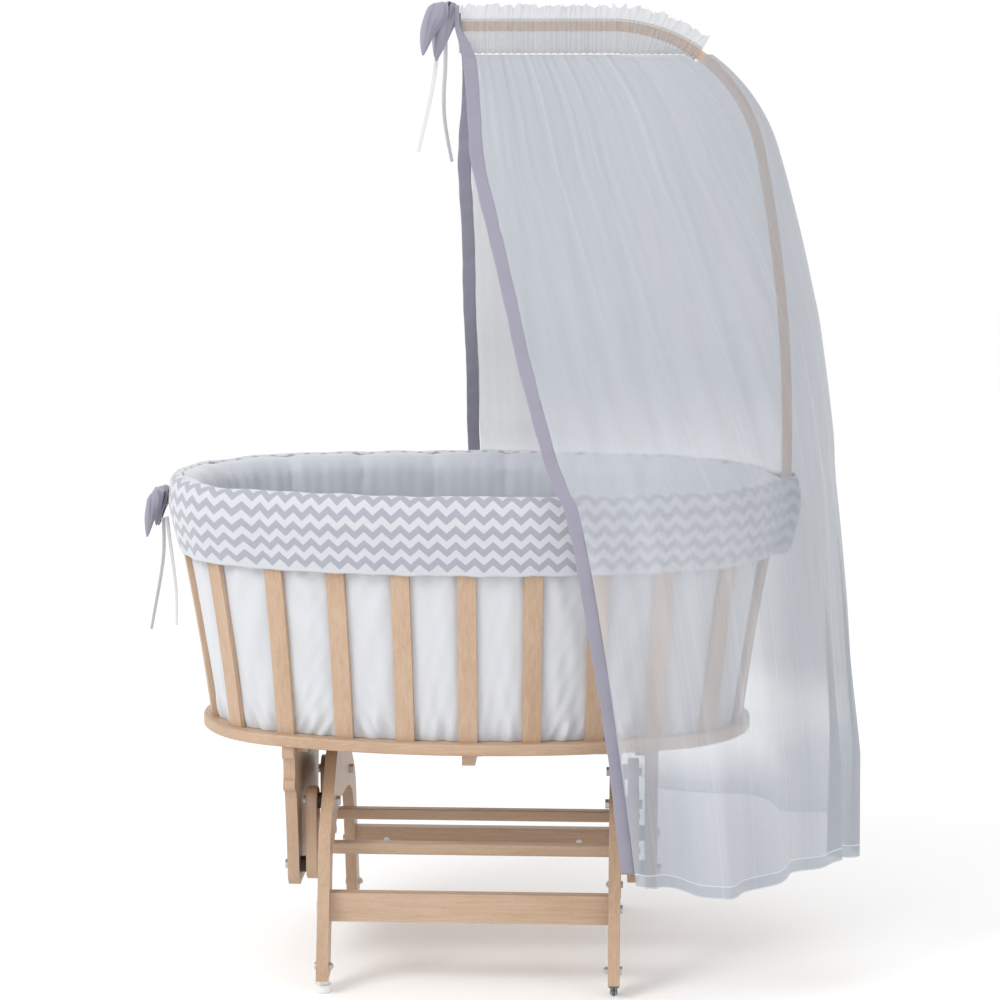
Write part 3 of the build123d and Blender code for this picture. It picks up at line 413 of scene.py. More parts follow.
def beech(name, grain, layers=None, tone=0.0):
    """Beech with its grain along one axis and, on plywood, layers stacked along another.

    Streaks are noise stretched along the grain; flecks are the peaks of a finer noise;
    a layer line is where the distance through the board, in layers, is near a whole number.
    """
    wood = Finish(name, PALE, 0.42, Coat_Weight=0.12, Coat_Roughness=0.3)

    def along_grain(per_metre, squeeze):
        """Coordinates with a number of cells per metre, fewer along the grain."""
        return wood.place(tuple(per_metre * (squeeze if axis == grain else 1.0) for axis in "XYZ"))

    streak = wood.noise(along_grain(260, 0.05), 1.0, 4.0, 0.55)
    slow = wood.noise(along_grain(26, 0.05), 1.0, 2.0, 0.5)
    drift = wood.noise(wood.place((3.1, 3.7, 2.3)), 1.0, 1.0, 0.5)
    fleck = wood.noise(along_grain(900, 0.16), 1.0, 1.0, 0.4).step(0.62, 0.74)
    share = streak * 0.55 + slow * 0.5 + drift * 0.45 - 0.52 + tone
    colour = wood.blend(share.step(0.0, 0.62), PALE, WARM)
    colour = wood.blend(fleck * 0.32, colour, FLECK)
    height = streak * 0.5 - fleck * 0.4
    if layers:
        x = wood.axes()["XYZ".index(layers)]
        through = (x / 0.0020 + slow * 0.35).part()
        line = 1 - ((through - 0.5).absolute() * 2).step(0.0, 0.35)
        dark_ply = (x / 0.0040).part().step(0.45, 0.55)
        colour = wood.blend(line * 0.38, colour, (0.24, 0.14, 0.075))
        colour = wood.blend(dark_ply * 0.16, colour, (0.38, 0.23, 0.125))
        height = height - line * 0.5
    wood.set("Base Color", colour)
    wood.set("Roughness", 0.36 + streak * 0.16)
    wood.relief(height, 0.0004, 0.35)
    return wood


ply_side = beech("beech_ply_upright", "Z", layers="X", tone=0.03)
ply_flat = beech("beech_ply_flat", "X", layers="Z", tone=0.02)
beech_long = beech("beech_long_grain", "X", tone=-0.04)
beech_upright = beech("beech_upright_grain", "Z", tone=0.06)
beech_across = beech("beech_cross_grain", "Y", tone=0.02)

dress(["left_arch", "right_arch", "left_hanger_board", "right_hanger_board",
       "front_left_link", "front_right_link", "rear_left_link", "rear_right_link"], ply_side)
dress(["base_board", "rim_ring"], ply_flat)
dress(["front_rail", "rear_rail", "front_stretcher", "rear_stretcher"], beech_long)
dress([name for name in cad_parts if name.startswith("slats_")], beech_upright)
dress(["end_slat", "pole_block"], beech_upright)
dress(["cross_batten", "hanger_cleats"], beech_across)

# %% [markdown]
# The pole is bent from thin strips glued together, so its layers follow the bend. They are
# drawn by the distance from the centre of the bend, which is the same along a whole strip.

# %% Pole finish
BEND_R = 0.235
POLE_HALF = 0.0075
POLE_TOP_Z = pole_high.z - POLE_HALF
POLE_X = pole_high.x - POLE_HALF
LEAN_R = 2.178
LEAN = math.radians(12.0)
BEND_X = POLE_X - LEAN_R * (1 - math.cos(LEAN)) - BEND_R * math.cos(LEAN)
BEND_Z = POLE_TOP_Z - BEND_R


def pole_finish():
    """Strips 2.5 mm thick. On the level stretch the distance through is z; round the bend it
    is the distance from the bend's centre, sqrt(dx^2 + dz^2); the lower of the two x is cut
    at the start of the bend, so that both agree there."""
    wood = Finish("beech_bent_pole", PALE, 0.42, Coat_Weight=0.12, Coat_Roughness=0.3)
    x, _, z = wood.axes()
    dx = (x - BEND_X).maths("MAXIMUM", 0.0)
    dz = (z - BEND_Z).maths("MAXIMUM", 0.0)
    through = (dx * dx + dz * dz).maths("SQRT")
    streak = wood.noise(wood.place((60, 500, 60)), 1.0, 3.0, 0.55)
    line = 1 - (((through / 0.0025).part() - 0.5).absolute() * 2).step(0.0, 0.3)
    colour = wood.blend((streak - 0.15).step(0.2, 0.8), (0.58, 0.40, 0.255), (0.47, 0.30, 0.175))
    colour = wood.blend(line * 0.22, colour, (0.32, 0.18, 0.10))
    wood.set("Base Color", colour)
    wood.relief(streak - line * 0.4, 0.0003, 0.3)
    return wood


dress(["canopy_pole"], pole_finish())
print("wood finishes made")

# %% [markdown]
# ## Metal and plastic
# Bolts and nuts are zinc-plated steel, dull and a little cloudy. The spacers between boards
# are black nylon, the glides white nylon, and the castors grey nylon with a rubber tread.

# %% Metal and plastic finishes
steel = Finish("zinc_steel", (0.55, 0.56, 0.57), 0.38, Metallic=1.0)
cloud = steel.noise(steel.place((420, 420, 420)), 1.0, 3.0)
steel.set("Base Color", steel.blend(cloud, (0.42, 0.43, 0.45), (0.68, 0.69, 0.70)))
steel.set("Roughness", 0.25 + cloud * 0.3)
steel.relief(cloud, 0.0002, 0.3)


def nylon(name, colour, roughness):
    """Moulded nylon: one colour with a faint mottle and a fine orange-peel relief."""
    finish = Finish(name, colour, roughness)
    mottle = finish.noise(finish.place((300, 300, 300)), 1.0, 2.0)
    finish.set("Base Color", finish.blend(mottle * 0.35, colour, tuple(0.75 * c for c in colour)))
    finish.set("Roughness", roughness - 0.08 + mottle * 0.16)
    finish.relief(finish.noise(finish.place((2600, 2600, 2600)), 1.0, 2.0), 0.0001, 0.3)
    return finish


dress([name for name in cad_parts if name.endswith(("bolts", "screws", "_axle"))], steel)
dress(["upper_spacers", "lower_spacers"], nylon("black_nylon", (0.018, 0.018, 0.02), 0.45))
dress(["glides"], nylon("white_nylon", (0.78, 0.78, 0.77), 0.35))
dress(["castor_sockets", "front_castor_fork", "rear_castor_fork"],
      nylon("grey_nylon", (0.13, 0.15, 0.16), 0.4))
dress(["front_castor_wheel", "rear_castor_wheel"],
      nylon("grey_tread", (0.10, 0.105, 0.11), 0.7))

# %% [markdown]
# ## Fabric finishes
# All the cloth here is cotton except the tulle. Cotton shows a fine over-and-under weave, so
# its relief is the product of two waves, one for each set of threads, in the cloth's own map,
# which is laid out in metres. Sheen lifts the edges, as loose fibres do.

# %% Cotton
THREAD = 0.0011


def cotton(name, colour, roughness=0.85, sheen=0.35, blotch=0.10, cloth=True):
    """Plain cotton. Weave = sin(2 pi u / thread) * sin(2 pi v / thread)."""
    finish = Finish(name, colour, roughness, Sheen_Weight=sheen, Sheen_Roughness=0.5)
    u, v, w = finish.axes(cloth=cloth)
    turn = 2 * math.pi / THREAD
    weave = (u * turn).wave() * ((v if cloth else w) * turn).wave() * 0.5 + 0.5
    tone = finish.noise(finish.place((9, 9, 9)), 1.0, 3.0)
    finish.tone = finish.blend(tone, tuple(c * (1 - blotch) for c in colour),
                               tuple(c * (1 + blotch) for c in colour))
    finish.set("Base Color", finish.tone)
    finish.set("Roughness", roughness - 0.05 + tone * 0.1)
    finish.weave = weave
    finish.relief(weave, 0.00012, 0.35)
    return finish


white_cotton = cotton("white_cotton", (0.565, 0.577, 0.605), blotch=0.03)
mattress_cotton = cotton("mattress_cotton", (0.66, 0.67, 0.69), blotch=0.03, cloth=False)
satin = cotton("blue_grey_satin", (0.490, 0.510, 0.555), roughness=0.6, sheen=0.5, blotch=0.04)
lilac = cotton("lilac_grey_cotton", (0.270, 0.261, 0.324), roughness=0.9, sheen=0.3, cloth=False)

# %% [markdown]
# The band is white cotton printed with grey zigzags. A zigzag row is a stripe whose height is
# moved up and down by a triangle wave along the cloth.

# %% Chevron print
ZIG = 0.0300
ZIG_RISE = 0.0125
ROW = 0.0247
ROW_SHARE = 0.50
ROW_START = 0.0185


def chevron_print():
    """Grey where part((v + rise * triangle(u)) / row) is below the row's share."""
    finish = cotton("chevron_cotton", (0.535, 0.547, 0.578), blotch=0.02)
    u, v, _ = finish.axes(cloth=True)
    triangle = ((u / ZIG).part() - 0.5).absolute() * 2
    height = ((v + triangle * ZIG_RISE - (ROW_START - ROW)) / ROW).part()
    blur = 0.03
    grey = height.step(0.0, blur) * (1 - height.step(ROW_SHARE, ROW_SHARE + blur))
    inside = v.step(0.0062, 0.0066)
    ink = finish.noise(finish.place((160, 160, 160)), 1.0, 2.0) * 0.12 + 0.88
    finish.set("Base Color", finish.blend(grey * inside * ink, finish.tone, (0.318, 0.333, 0.382)))
    stitch = 1 - ((v - 0.0068).absolute()).step(0.0003, 0.0009)
    finish.relief(finish.weave * 0.6 - stitch * 3.0, 0.00014, 0.5)
    return finish


chevron = chevron_print()

# %% [markdown]
# Tulle is an open mesh of fine thread: mostly holes, so it is mostly clear, and it turns
# denser where it is gathered, folded or hemmed. The alpha below follows two values that are
# stored on the net's points, its density and its veil, and soft streaks that run down it.

# %% Tulle


def tulle_finish(name, clear, hem=True):
    """Alpha = clear + gathers + streaks + hem + veil, held between 0.05 and 0.97. On the net the
    colour holds painted light and shade: lighter in front of the basket, darker where the net hangs
    clear of it.
    """
    finish = Finish(name, (0.50, 0.535, 0.59), 0.8, Sheen_Weight=0.2, Sheen_Roughness=0.4)
    finish.material.surface_render_method = "BLENDED"
    _, v, _ = finish.axes(cloth=True)
    across, _, height = finish.axes()
    # The mask of where the net hangs clear of the basket: above the rim, below the basket and past
    # its end. It paints shade into the net's colour and adds a little alpha.
    painted_shade_clear_of_basket = height.step(0.66, 0.95).maths("MAXIMUM", 1 - height.step(0.33, 0.43)).maths(
        "MAXIMUM", across.step(0.36, 0.45))
    broad = finish.noise(finish.place((9, 0.35, 1), cloth=True), 1.0, 2.0, 0.5)
    streak = finish.noise(finish.place((21, 0.50, 1), cloth=True), 1.0, 3.0, 0.6)
    fine = finish.noise(finish.place((260, 1.3, 1), cloth=True), 1.0, 2.0, 0.5)
    mottle = finish.noise(finish.place((7, 7, 7)), 1.0, 2.0, 0.5)
    density = finish.attribute("density")
    crest = streak.step(0.52, 0.86)
    alpha = clear + density * 0.17 + (broad - 0.5) * 0.28 + crest * 0.13
    alpha = alpha + (fine - 0.5) * 0.10 + (mottle - 0.5) * 0.10
    if hem:
        fold = 1 - v.step(0.0185, 0.0200)
        line = 1 - ((v - 0.0195).absolute()).step(0.0005, 0.0014)
        rim = 1 - v.step(0.0012, 0.0024)
        alpha = alpha + fold * 0.10 + line * 0.28 + rim * 0.30
        alpha = alpha + painted_shade_clear_of_basket * 0.08 + finish.attribute("veil")
        # Painted light and shade: a lighter copy of the tulle's colour in front of the basket and a
        # darker, shaded copy where the net hangs clear of it.
        plain = finish.blend(painted_shade_clear_of_basket, (0.575, 0.595, 0.64), (0.370, 0.395, 0.442))
        light = crest * 0.35 + density * 0.30 + line * 0.6 + rim * 0.6
        finish.set("Base Color", finish.blend(light, plain, (0.68, 0.70, 0.74)))
    else:
        finish.set("Base Color", finish.blend(fine.step(0.3, 0.7), (0.30, 0.318, 0.362),
                                              (0.44, 0.458, 0.50)))
    finish.set("Alpha", alpha.maths("MINIMUM", 0.97).maths("MAXIMUM", 0.05))
    finish.relief(fine * 0.3 + streak, 0.0008, 0.4)
    return finish


net_tulle = tulle_finish("white_tulle", 0.49)
header_tulle = tulle_finish("gathered_tulle", 0.45, hem=False)
print("fabric finishes made")

# %% [markdown]
# ## Liner
# Behind the slats hangs a plain white cotton wall. It lies against the slats and billows a
# little between them, with soft slanting creases that are deepest near the foot.

# %% Liner
LINER_COLUMNS = 70
LINER_ROWS = SLAT_COUNT * 30


def liner_points():
    """Point = oval(share, offset). Offset = the slats' inner face, plus a billow that is
    zero at each slat and largest between two, plus slanting creases."""
    share = np.linspace(0, 1, LINER_ROWS, endpoint=False)[:, None]
    z = np.linspace(FLOOR_Z + 0.0005, RIM_Z - 0.020, LINER_COLUMNS)[None, :]
    up = (z - FLOOR_Z) / SLAT_HEIGHT
    between = np.sin(math.pi * SLAT_COUNT * share) ** 2
    billow = 0.0068 * between ** 0.6 * np.sin(math.pi * np.clip(up, 0, 1)) ** 0.5
    which = np.floor(share * SLAT_COUNT)
    lean = np.sin(which * 2.4) * 3.4
    fold = np.sin(2 * math.pi * (share * SLAT_COUNT * 1.9 + lean * up ** 1.3) + which * 1.7)
    small = np.sin(2 * math.pi * (share * SLAT_COUNT * 4.1 - 1.6 * lean * up ** 0.8)
                   + which * 4.1) * wander(up, 14, high=4)
    bottom = np.exp(-((up - 0.04) / 0.10) ** 2) + 0.55 * np.exp(-((up - 0.85) / 0.2) ** 2)
    crease = between * (0.0030 * fold * (0.4 + bottom) + 0.0019 * small * (0.4 + bottom))
    slack = 0.0022 * wander(share, 11, high=40) * between
    offset = flare(z) - SLAT_THICK - 0.0022 + billow + crease + slack
    x, y, _, _ = oval(share + 0 * z, offset)
    points = np.stack([x, y, z + 0 * share], -1)
    return points, share * 4 * QUARTER + 0 * z, z + 0 * share


points, along, up = liner_points()
liner = grid_piece("liner_cloth", points, (along, up), wrap_rows=True)
put(liner, "cradle", white_cotton, "white_cotton", "liner")
print("liner", len(liner.data.polygons), "faces")

# %% [markdown]
# ## Padded bumper
# The inside of the rim is a padded wall of blue-grey satin that rolls over the wooden ring.
# It is sewn in upright channels, so it swells between the seams and pinches at them, with
# small wrinkles that run out from each seam.

# %% Bumper
BUMPER_SEAMS = 18
RING_INNER = ring_high.x - CENTRE_X - FOOT_A - 0.026
WALL_LOW = mattress_high.z + 0.001


def bumper_profile(count):
    """The closed outline of the padding as (offset, height, puff), starting outside on top:
    over the roll, down the inner wall, and back up behind it. Puff says how far the seams
    may pull a point in."""
    top = TOP_Z + 0.0065
    wall = np.array([0, 0.2, 0.4, 0.6, 0.8, 1.0])
    z_wall = (RIM_Z - 0.03) + (WALL_LOW - RIM_Z + 0.03) * wall
    behind = np.minimum(flare(z_wall) - SLAT_THICK - 0.0065, RING_INNER - 0.002)
    inner = behind - 0.026
    knots = [(RING_INNER + 0.0265, RIM_Z + 0.003, 0.0), (RING_INNER + 0.0305, RIM_Z + 0.011, 0.0),
             (RING_INNER + 0.0285, top - 0.009, 0.1), (RING_INNER + 0.021, top - 0.002, 0.3),
             (RING_INNER + 0.008, top, 0.5), (RING_INNER - 0.008, top - 0.005, 0.8),
             (RING_INNER - 0.022, top - 0.021, 1.0)]
    knots += [(d, z, 1.0) for d, z in zip(inner, z_wall)]
    knots += [(inner[-1] + 0.009, WALL_LOW - 0.0005, 0.5),
              (behind[-1] - 0.001, WALL_LOW + 0.004, 0.0)]
    knots += [(d, z, 0.0) for d, z in zip(behind[::-1][1:], z_wall[::-1][1:])]
    knots += [(RING_INNER - 0.002, RIM_Z + 0.001, 0.0), (RING_INNER + 0.012, RIM_Z + 0.0015, 0.0)]
    knots = np.array(knots + knots[:1])
    length = np.concatenate([[0], np.cumsum(np.hypot(*np.diff(knots[:, :2], axis=0).T))])
    where = np.linspace(0, length[-1], count, endpoint=False)
    smooth = [np.interp(where, length, knots[:, k]) for k in range(3)]
    kernel = np.array([1, 2, 3, 2, 1]) / 9.0
    rounded = [np.convolve(np.concatenate([s[-2:], s, s[:2]]), kernel, "valid") for s in smooth]
    return rounded, where


def bumper_points(rows=640, columns=120):
    """Point = oval(share, offset - swell), where the swell is full between two seams and
    falls steeply at a seam, as |sin|^0.42 does."""
    (offset, z, puff), where = bumper_profile(columns)
    share = np.linspace(0, 1, rows, endpoint=False)[:, None]
    phase = share * BUMPER_SEAMS + 0.3
    near_seam = np.abs(np.sin(math.pi * phase))
    swell = near_seam ** 0.42
    which = np.floor(phase)
    up = ((z - WALL_LOW) / (TOP_Z - WALL_LOW))[None, :]
    pinch = np.exp(-(near_seam / 0.30) ** 2)
    tug = np.sin(2 * math.pi * up * (5 + 2 * np.sin(which * 5.1)) + which * 2.3 + 3 * phase)
    drape = np.sin(2 * math.pi * (phase * 2.2 + 0.6 * np.sin(which * 3.3) * up) + which)
    fine = np.sin(2 * math.pi * (phase * 5.7 + 0.35 * np.sin(which * 1.9) * up) + 2 * which)
    loose = 0.35 + 0.65 * smooth_step(0.56, 0.70, share) * (1 - smooth_step(0.84, 0.92, share))
    wrinkle = 0.0015 * drape * (1 - pinch) + 0.0008 * fine
    seam_pull = 0.0050 * (swell - 0.6) + 0.0010 * tug * pinch + loose * wrinkle
    top_wave = 0.0016 * wander(share, 5, waves=8, low=6, high=34)
    offset, z, puff = offset[None, :], z[None, :], puff[None, :]
    on_top = smooth_step(RIM_Z, TOP_Z, z)
    x, y, _, _ = oval(share + 0 * offset, offset - puff * seam_pull)
    height = z + top_wave * on_top * 0.8 - 0.0012 * puff - puff * on_top * 0.0045 * pinch
    points = np.stack([x, y, height + 0 * x], -1)
    return points, share * 2.4 + 0 * x, where[None, :] + 0 * x


points, along, around = bumper_points()
bumper = grid_piece("bumper_pad", points[:, ::-1], (along[:, ::-1], around[:, ::-1]),
                    wrap_rows=True, wrap_columns=True)
put(bumper, "cradle", satin, "blue_grey_satin", "bumper")
print("bumper", len(bumper.data.polygons), "faces")

# %% [markdown]
# ## Chevron band
# The printed band wraps the outside of the rim. It is a soft cloth over padding, so it
# rolls over the top, ripples a little along its lower hem, and bulges out over the pole.

# %% Band
BAND_THICK = 0.0024
BULGE = 0.0235
BULGE_HALF = 0.038
BULGE_KEPT_OUT = 0.88
LIP = 0.0085


def pole_bulge(x, y):
    """How far the band stands out over the canopy pole: a smooth hump about 76 mm wide."""
    beside = np.abs(y) / BULGE_HALF
    return np.where(x > CENTRE_X, BULGE * np.exp(-beside ** 4), 0.0)


def band_profile(count=44):
    """The closed outline as (offset, height, way along it): up the outside from the hem, in
    over the padded roll by part of an ellipse whose end is tucked into the roll, and back on
    the inside, 2.4 mm apart."""
    z = np.linspace(BAND_Z, TOP_Z - 0.0105, count)
    lean = np.minimum(flare(np.minimum(z, RIM_Z - 0.018)), FLARE_TOP)
    round_out = 0.0028 * np.sin(math.pi * np.linspace(0, 1, count)) ** 0.8
    outside = lean + 0.0062 + round_out
    over = np.linspace(0, 1, 19)[1:] * 2.2
    reach = outside[-1] - RING_INNER - 0.018
    over_x = outside[-1] - reach * (1 - np.cos(over))
    over_z = z[-1] + 0.0176 * np.sin(over)
    outer = np.stack([np.append(outside, over_x), np.append(z, over_z)])
    way = np.gradient(outer, axis=1)
    way = way / np.hypot(*way)
    inner = outer + BAND_THICK * np.stack([-way[1], way[0]])
    offset, height = np.concatenate([outer, inner[:, ::-1]], axis=1)
    length = np.append(0, np.cumsum(np.hypot(*np.diff(outer, axis=1))))
    return offset, height, np.append(length, length[::-1])


def band_points(rows=720):
    """Point = oval(share, offset + ripple + bulge). The ripple grows towards the hem. At the
    pole the part that rolls over the padding is kept out, so that the pole passes inside."""
    offset, height, length = band_profile()
    share = np.linspace(0, 1, rows, endpoint=False)[:, None]
    down = np.maximum(1 - (height - BAND_Z) / (TOP_Z - BAND_Z), 0)[None, :]
    ripple = 0.0010 * wander(share, 21, waves=9, low=8, high=46) * (0.35 + down ** 2)
    slow = 0.0012 * wander(share, 22, waves=5, low=3, high=12)
    edge = 0.0014 * wander(share, 23, waves=9, low=10, high=50)
    x0, y0, _, _ = oval(share, 0.06)
    bulge = pole_bulge(x0, y0)
    past_lip = np.maximum(offset.max() - LIP - offset, 0) * (height > TOP_Z - 0.010)
    kept_out = bulge / BULGE * BULGE_KEPT_OUT * past_lip[None, :]
    x, y, _, _ = oval(share + 0 * down, offset[None, :] + ripple + slow + bulge + kept_out)
    crown = smooth_step(TOP_Z - 0.012, TOP_Z + 0.004, height)[None, :]
    top_wave = 0.0013 * wander(share, 5, waves=8, low=6, high=34) * crown
    z = height[None, :] + edge * np.where(down > 0.9, 0.7, 0.0) + top_wave
    points = np.stack([x, y, z + 0 * x], -1)
    rim_length = 4 * QUARTER + 2 * math.pi * 0.058
    return points, share * round(rim_length / ZIG) * ZIG + 0 * x, length[None, :] + 0 * x


points, along, up = band_points()
band = grid_piece("chevron_cloth", points, (along, up), wrap_rows=True, wrap_columns=True)
put(band, "cradle", chevron, "chevron_cotton", "chevron_band")
print("band", len(band.data.polygons), "faces")

# %% [markdown]
# ## Mattress
# The mattress is a flat pad in a white cover. Cloth simulation gives it its soft crown: the
# closed cover is blown up a little by air pressure, and a cap keeps it near its CAD size.

# %% Mattress
MATTRESS_INSET = FOOT_A - (mattress_high.x - CENTRE_X)


def mattress_shell(rows=180):
    """A closed pad: rings of the oval from the middle of the top, over the edge, to the
    middle of the bottom."""
    low, high = mattress_low.z, mattress_high.z
    middle, half = (low + high) / 2, (high - low) / 2 - 0.004
    share = np.linspace(0, 1, rows, endpoint=False)[:, None]
    face = np.linspace(0.02, 0.96, 26)
    shrink = np.concatenate([face, np.cos(np.linspace(0.3, -0.3, 9)) ** 0.5, face[::-1]])
    side = half * np.sin(np.linspace(1.3, -1.3, 9))
    tall = np.concatenate([np.full(len(face), half), side, np.full(len(face), -half)])
    edge_x, edge_y, _, _ = oval(share, -MATTRESS_INSET - 0.004)
    x = CENTRE_X + (edge_x - CENTRE_X) * shrink[None, :]
    y = edge_y * shrink[None, :]
    return np.stack([x, y, middle + tall[None, :] + 0 * x], -1)


def inflate(piece, pressure, cap, voxel, frames=18):
    """Remesh, blow up as cloth with no gravity, cap each point's move, and keep the result."""
    remesh = piece.modifiers.new("even", "REMESH")
    remesh.mode = "VOXEL"
    remesh.voxel_size = voxel
    depsgraph = bpy.context.evaluated_depsgraph_get()
    even = bpy.data.meshes.new_from_object(piece.evaluated_get(depsgraph))
    piece.modifiers.clear()
    piece.data = even
    start = np.empty(len(even.vertices) * 3, np.float32)
    even.vertices.foreach_get("co", start)
    cloth = piece.modifiers.new("air", "CLOTH")
    cloth.settings.use_pressure = True
    cloth.settings.uniform_pressure_force = pressure
    cloth.settings.effector_weights.gravity = 0.0
    cloth.settings.quality = 4
    cloth.collision_settings.use_collision = False
    cloth.point_cache.frame_end = frames
    for number in range(1, frames + 1):
        bpy.context.scene.frame_set(number)
    depsgraph = bpy.context.evaluated_depsgraph_get()
    blown = bpy.data.meshes.new_from_object(piece.evaluated_get(depsgraph))
    end = np.empty(len(blown.vertices) * 3, np.float32)
    blown.vertices.foreach_get("co", end)
    move = (end - start).reshape(-1, 3)
    length = np.linalg.norm(move, axis=1, keepdims=True)
    move *= np.minimum(1.0, cap / np.maximum(length, 1e-9))
    even.vertices.foreach_set("co", (start.reshape(-1, 3) + move).reshape(-1))
    piece.modifiers.clear()
    bpy.context.scene.frame_set(1)
    even.polygons.foreach_set("use_smooth", np.ones(len(even.polygons), bool))
    even.update()
    return piece


shell = mattress_shell()
mattress = grid_piece("mattress_cover", shell[:, ::-1], wrap_rows=True)
inflate(mattress, 3.0, 0.004, 0.008)
put(mattress, "cradle", mattress_cotton, "white_cotton", "mattress")
print("mattress", len(mattress.data.polygons), "faces")

# %% [markdown]
# ## Net
# The net is one sheet of tulle. It is gathered on the level stretch of the pole, falls to the
# rim, is pushed out by it, and hangs free down to the hem. Its cross-section at any height is
# a long U: the near side, a round right end, and the far side. Each upright line of the cloth
# keeps the same share of the way along each half of the U, so the threads fan out as real
# ones do.

# %% Net shape by height
NET_TOP = net_high.z
NET_RIM = TOP_Z + 0.013
NET_HEM = net_low.z
FAR_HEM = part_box("net_far")[0].z
NET_HALF = -net_low.y - 0.002
TIP_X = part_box("net_casing")[0].x
EDGE_DRIFT = 0.170
SKIRT_DRIFT = 0.098
SPREAD_DOWN = (0, 0.25, 0.45, 0.70, 0.95, 1)
SPREAD_SHARE = (0.047, 0.16, 0.36, 0.60, 0.89, 1)
LEAN_Z = BEND_Z + (BEND_R - LEAN_R) * math.sin(LEAN)


def soft_interp(x, xs, ys, blur=0.03, taps=9):
    """Straight-line interpolation, averaged over a few nearby places to round its corners."""
    return sum(np.interp(x + d, xs, ys) for d in np.linspace(-blur, blur, taps)) / taps


def pole_outside(z):
    """X of the pole's outer face: the bend's circle, then the long lean, then upright."""
    bend = BEND_X + np.sqrt(np.maximum((BEND_R + POLE_HALF) ** 2 - np.maximum(z - BEND_Z, 0) ** 2, 0))
    lean = POLE_X - LEAN_R + np.sqrt((LEAN_R + POLE_HALF) ** 2 - np.clip(z - LEAN_Z, 0, None) ** 2)
    return np.where(z > BEND_Z + BEND_R * math.sin(LEAN), bend, lean)


def section(z):
    """Half-width, near edge x, far edge x and right end x at heights z."""
    down = (NET_TOP - z) / (NET_TOP - NET_RIM)
    share = soft_interp(np.minimum(down, 1.06), SPREAD_DOWN, SPREAD_SHARE)
    half = NET_HALF * share
    skirt = np.clip((NET_RIM - z) / (NET_RIM - NET_HEM), 0, 1)
    near = TIP_X + 0.012 + EDGE_DRIFT * share + SKIRT_DRIFT * skirt ** 0.75
    gap = 0.008 + 0.098 * np.minimum(1.0, (NET_TOP - z) / (NET_TOP - NET_HEM) * 1.15)
    return half, near, TIP_X + 0.016 + 0 * z, pole_outside(z) + gap


def net_point(share, z, out=0.0):
    """x and y at a share of the way along the U, 0 near edge, 0.5 right end, 1 far edge.

    Each half is a straight run and a quarter circle; the share is a share of their length.
    out moves the point outwards.
    """
    half, near, far, right = section(z)
    edge = np.where(share < 0.5, near, far)
    straight = np.maximum(right - half - edge, 0.0)
    length = straight + half * math.pi / 2
    s = np.minimum(share, 1 - share) * 2 * length
    on_run = s < straight
    angle = np.where(on_run, 0.0, (s - straight) / np.maximum(half, 1e-6))
    x = np.where(on_run, edge + s, right - half + half * np.sin(angle))
    y = half * np.cos(angle)
    nx, ny = np.sin(angle), np.cos(angle)
    sign = np.where(share < 0.5, -1.0, 1.0)
    return x + out * nx, sign * (y + out * ny)


# %% [markdown]
# Folds are sums of waves along the sheet. Fine gathers start at the casing and die away; a
# few deep folds grow towards the hem. The slope of the folds is kept as the cloth's density,
# because gathered tulle is seen through more threads.

# %% Net folds


def net_folds(share, down):
    """Outward move in metres, and its slope as a density from 0 to 1.

    Deep folds: amplitude rises with the height fallen; gathers: amplitude falls with it.
    Each wave's start drifts with the height, so folds wander instead of running straight.
    """
    deep = smooth_step(0.40, 1.0, down)
    held_at_rim = smooth_step(0.46, 0.52, down) - smooth_step(0.56, 0.7, down)
    middle = smooth_step(0.10, 0.6, down) * (1 - 0.3 * held_at_rim)
    gather = np.exp(-down * 7.0) * (1 - smooth_step(0.26, 0.40, np.minimum(share, 1 - share)))
    waves = [
        (6.5, 0.0075 * deep + 0.0030 * middle, 0.25 * down, 0.4),
        (10.0, 0.0080 * deep, -0.35 * down, 2.1),
        (15.0, 0.0035 * deep + 0.0016 * middle, 0.30 * down, 4.4),
        (24.0, 0.0016 * middle + 0.0004 * gather, -0.3 * down, 1.3),
        (47.0, 0.0009 * gather + 0.0002, 0.2 * down, 5.0),
        (71.0, 0.0008 * gather, -0.2 * down, 0.8),
    ]
    move, slope = 0.0, 0.0
    bend = 0.9 * np.sin(2 * math.pi * (1.7 * share + 0.2)) \
        + 0.5 * np.sin(2 * math.pi * (3.9 * share + 0.6))
    for count, height, drift, start in waves:
        phase = 2 * math.pi * (count * share + drift) + start + bend
        move = move + height * np.sin(phase)
        slope = slope + height * count * np.cos(phase)
    return move, np.clip(np.abs(slope) / 0.14, 0, 1) ** 1.3


# Angle, width and height of each ridge.
FAN = [(-0.06, 0.050, 0.8), (0.11, 0.020, 0.7), (0.20, 0.030, 0.9), (0.31, 0.016, 1.0),
       (0.37, 0.022, 0.8), (0.47, 0.018, 0.9), (0.60, 0.030, 0.6)]
SLEEVE_DEPTH = 0.041
SLEEVE_LAP = 0.001


def fan_folds(x, z):
    """Ridges that spread from the end of the sleeve: a sum of exp(-((angle - a) / w)^2), with
    the angle measured from straight down, rising and then dying with the distance."""
    dx, dz = x - (BEND_X + 0.04), NET_TOP + 0.01 - z
    angle, reach = np.arctan2(dx, dz), np.hypot(dx, dz)
    ridges = sum(h * np.exp(-((angle - a) / w) ** 2) for a, w, h in FAN)
    return ridges * smooth_step(0.03, 0.16, reach) * np.exp(-reach / 0.75)


def sleeve_taper(turned):
    """The sleeve's depth under the pole, as a share of the full one. Its seam stays level
    with the net's top round the bend, so the depth is R - (R - full) / cos(turned)."""
    top = BEND_R - SLEEVE_DEPTH - SLEEVE_LAP
    level = BEND_R - top / np.cos(np.clip(turned, 0, 0.7))
    return np.clip(level / SLEEVE_DEPTH, 0.3, 1)


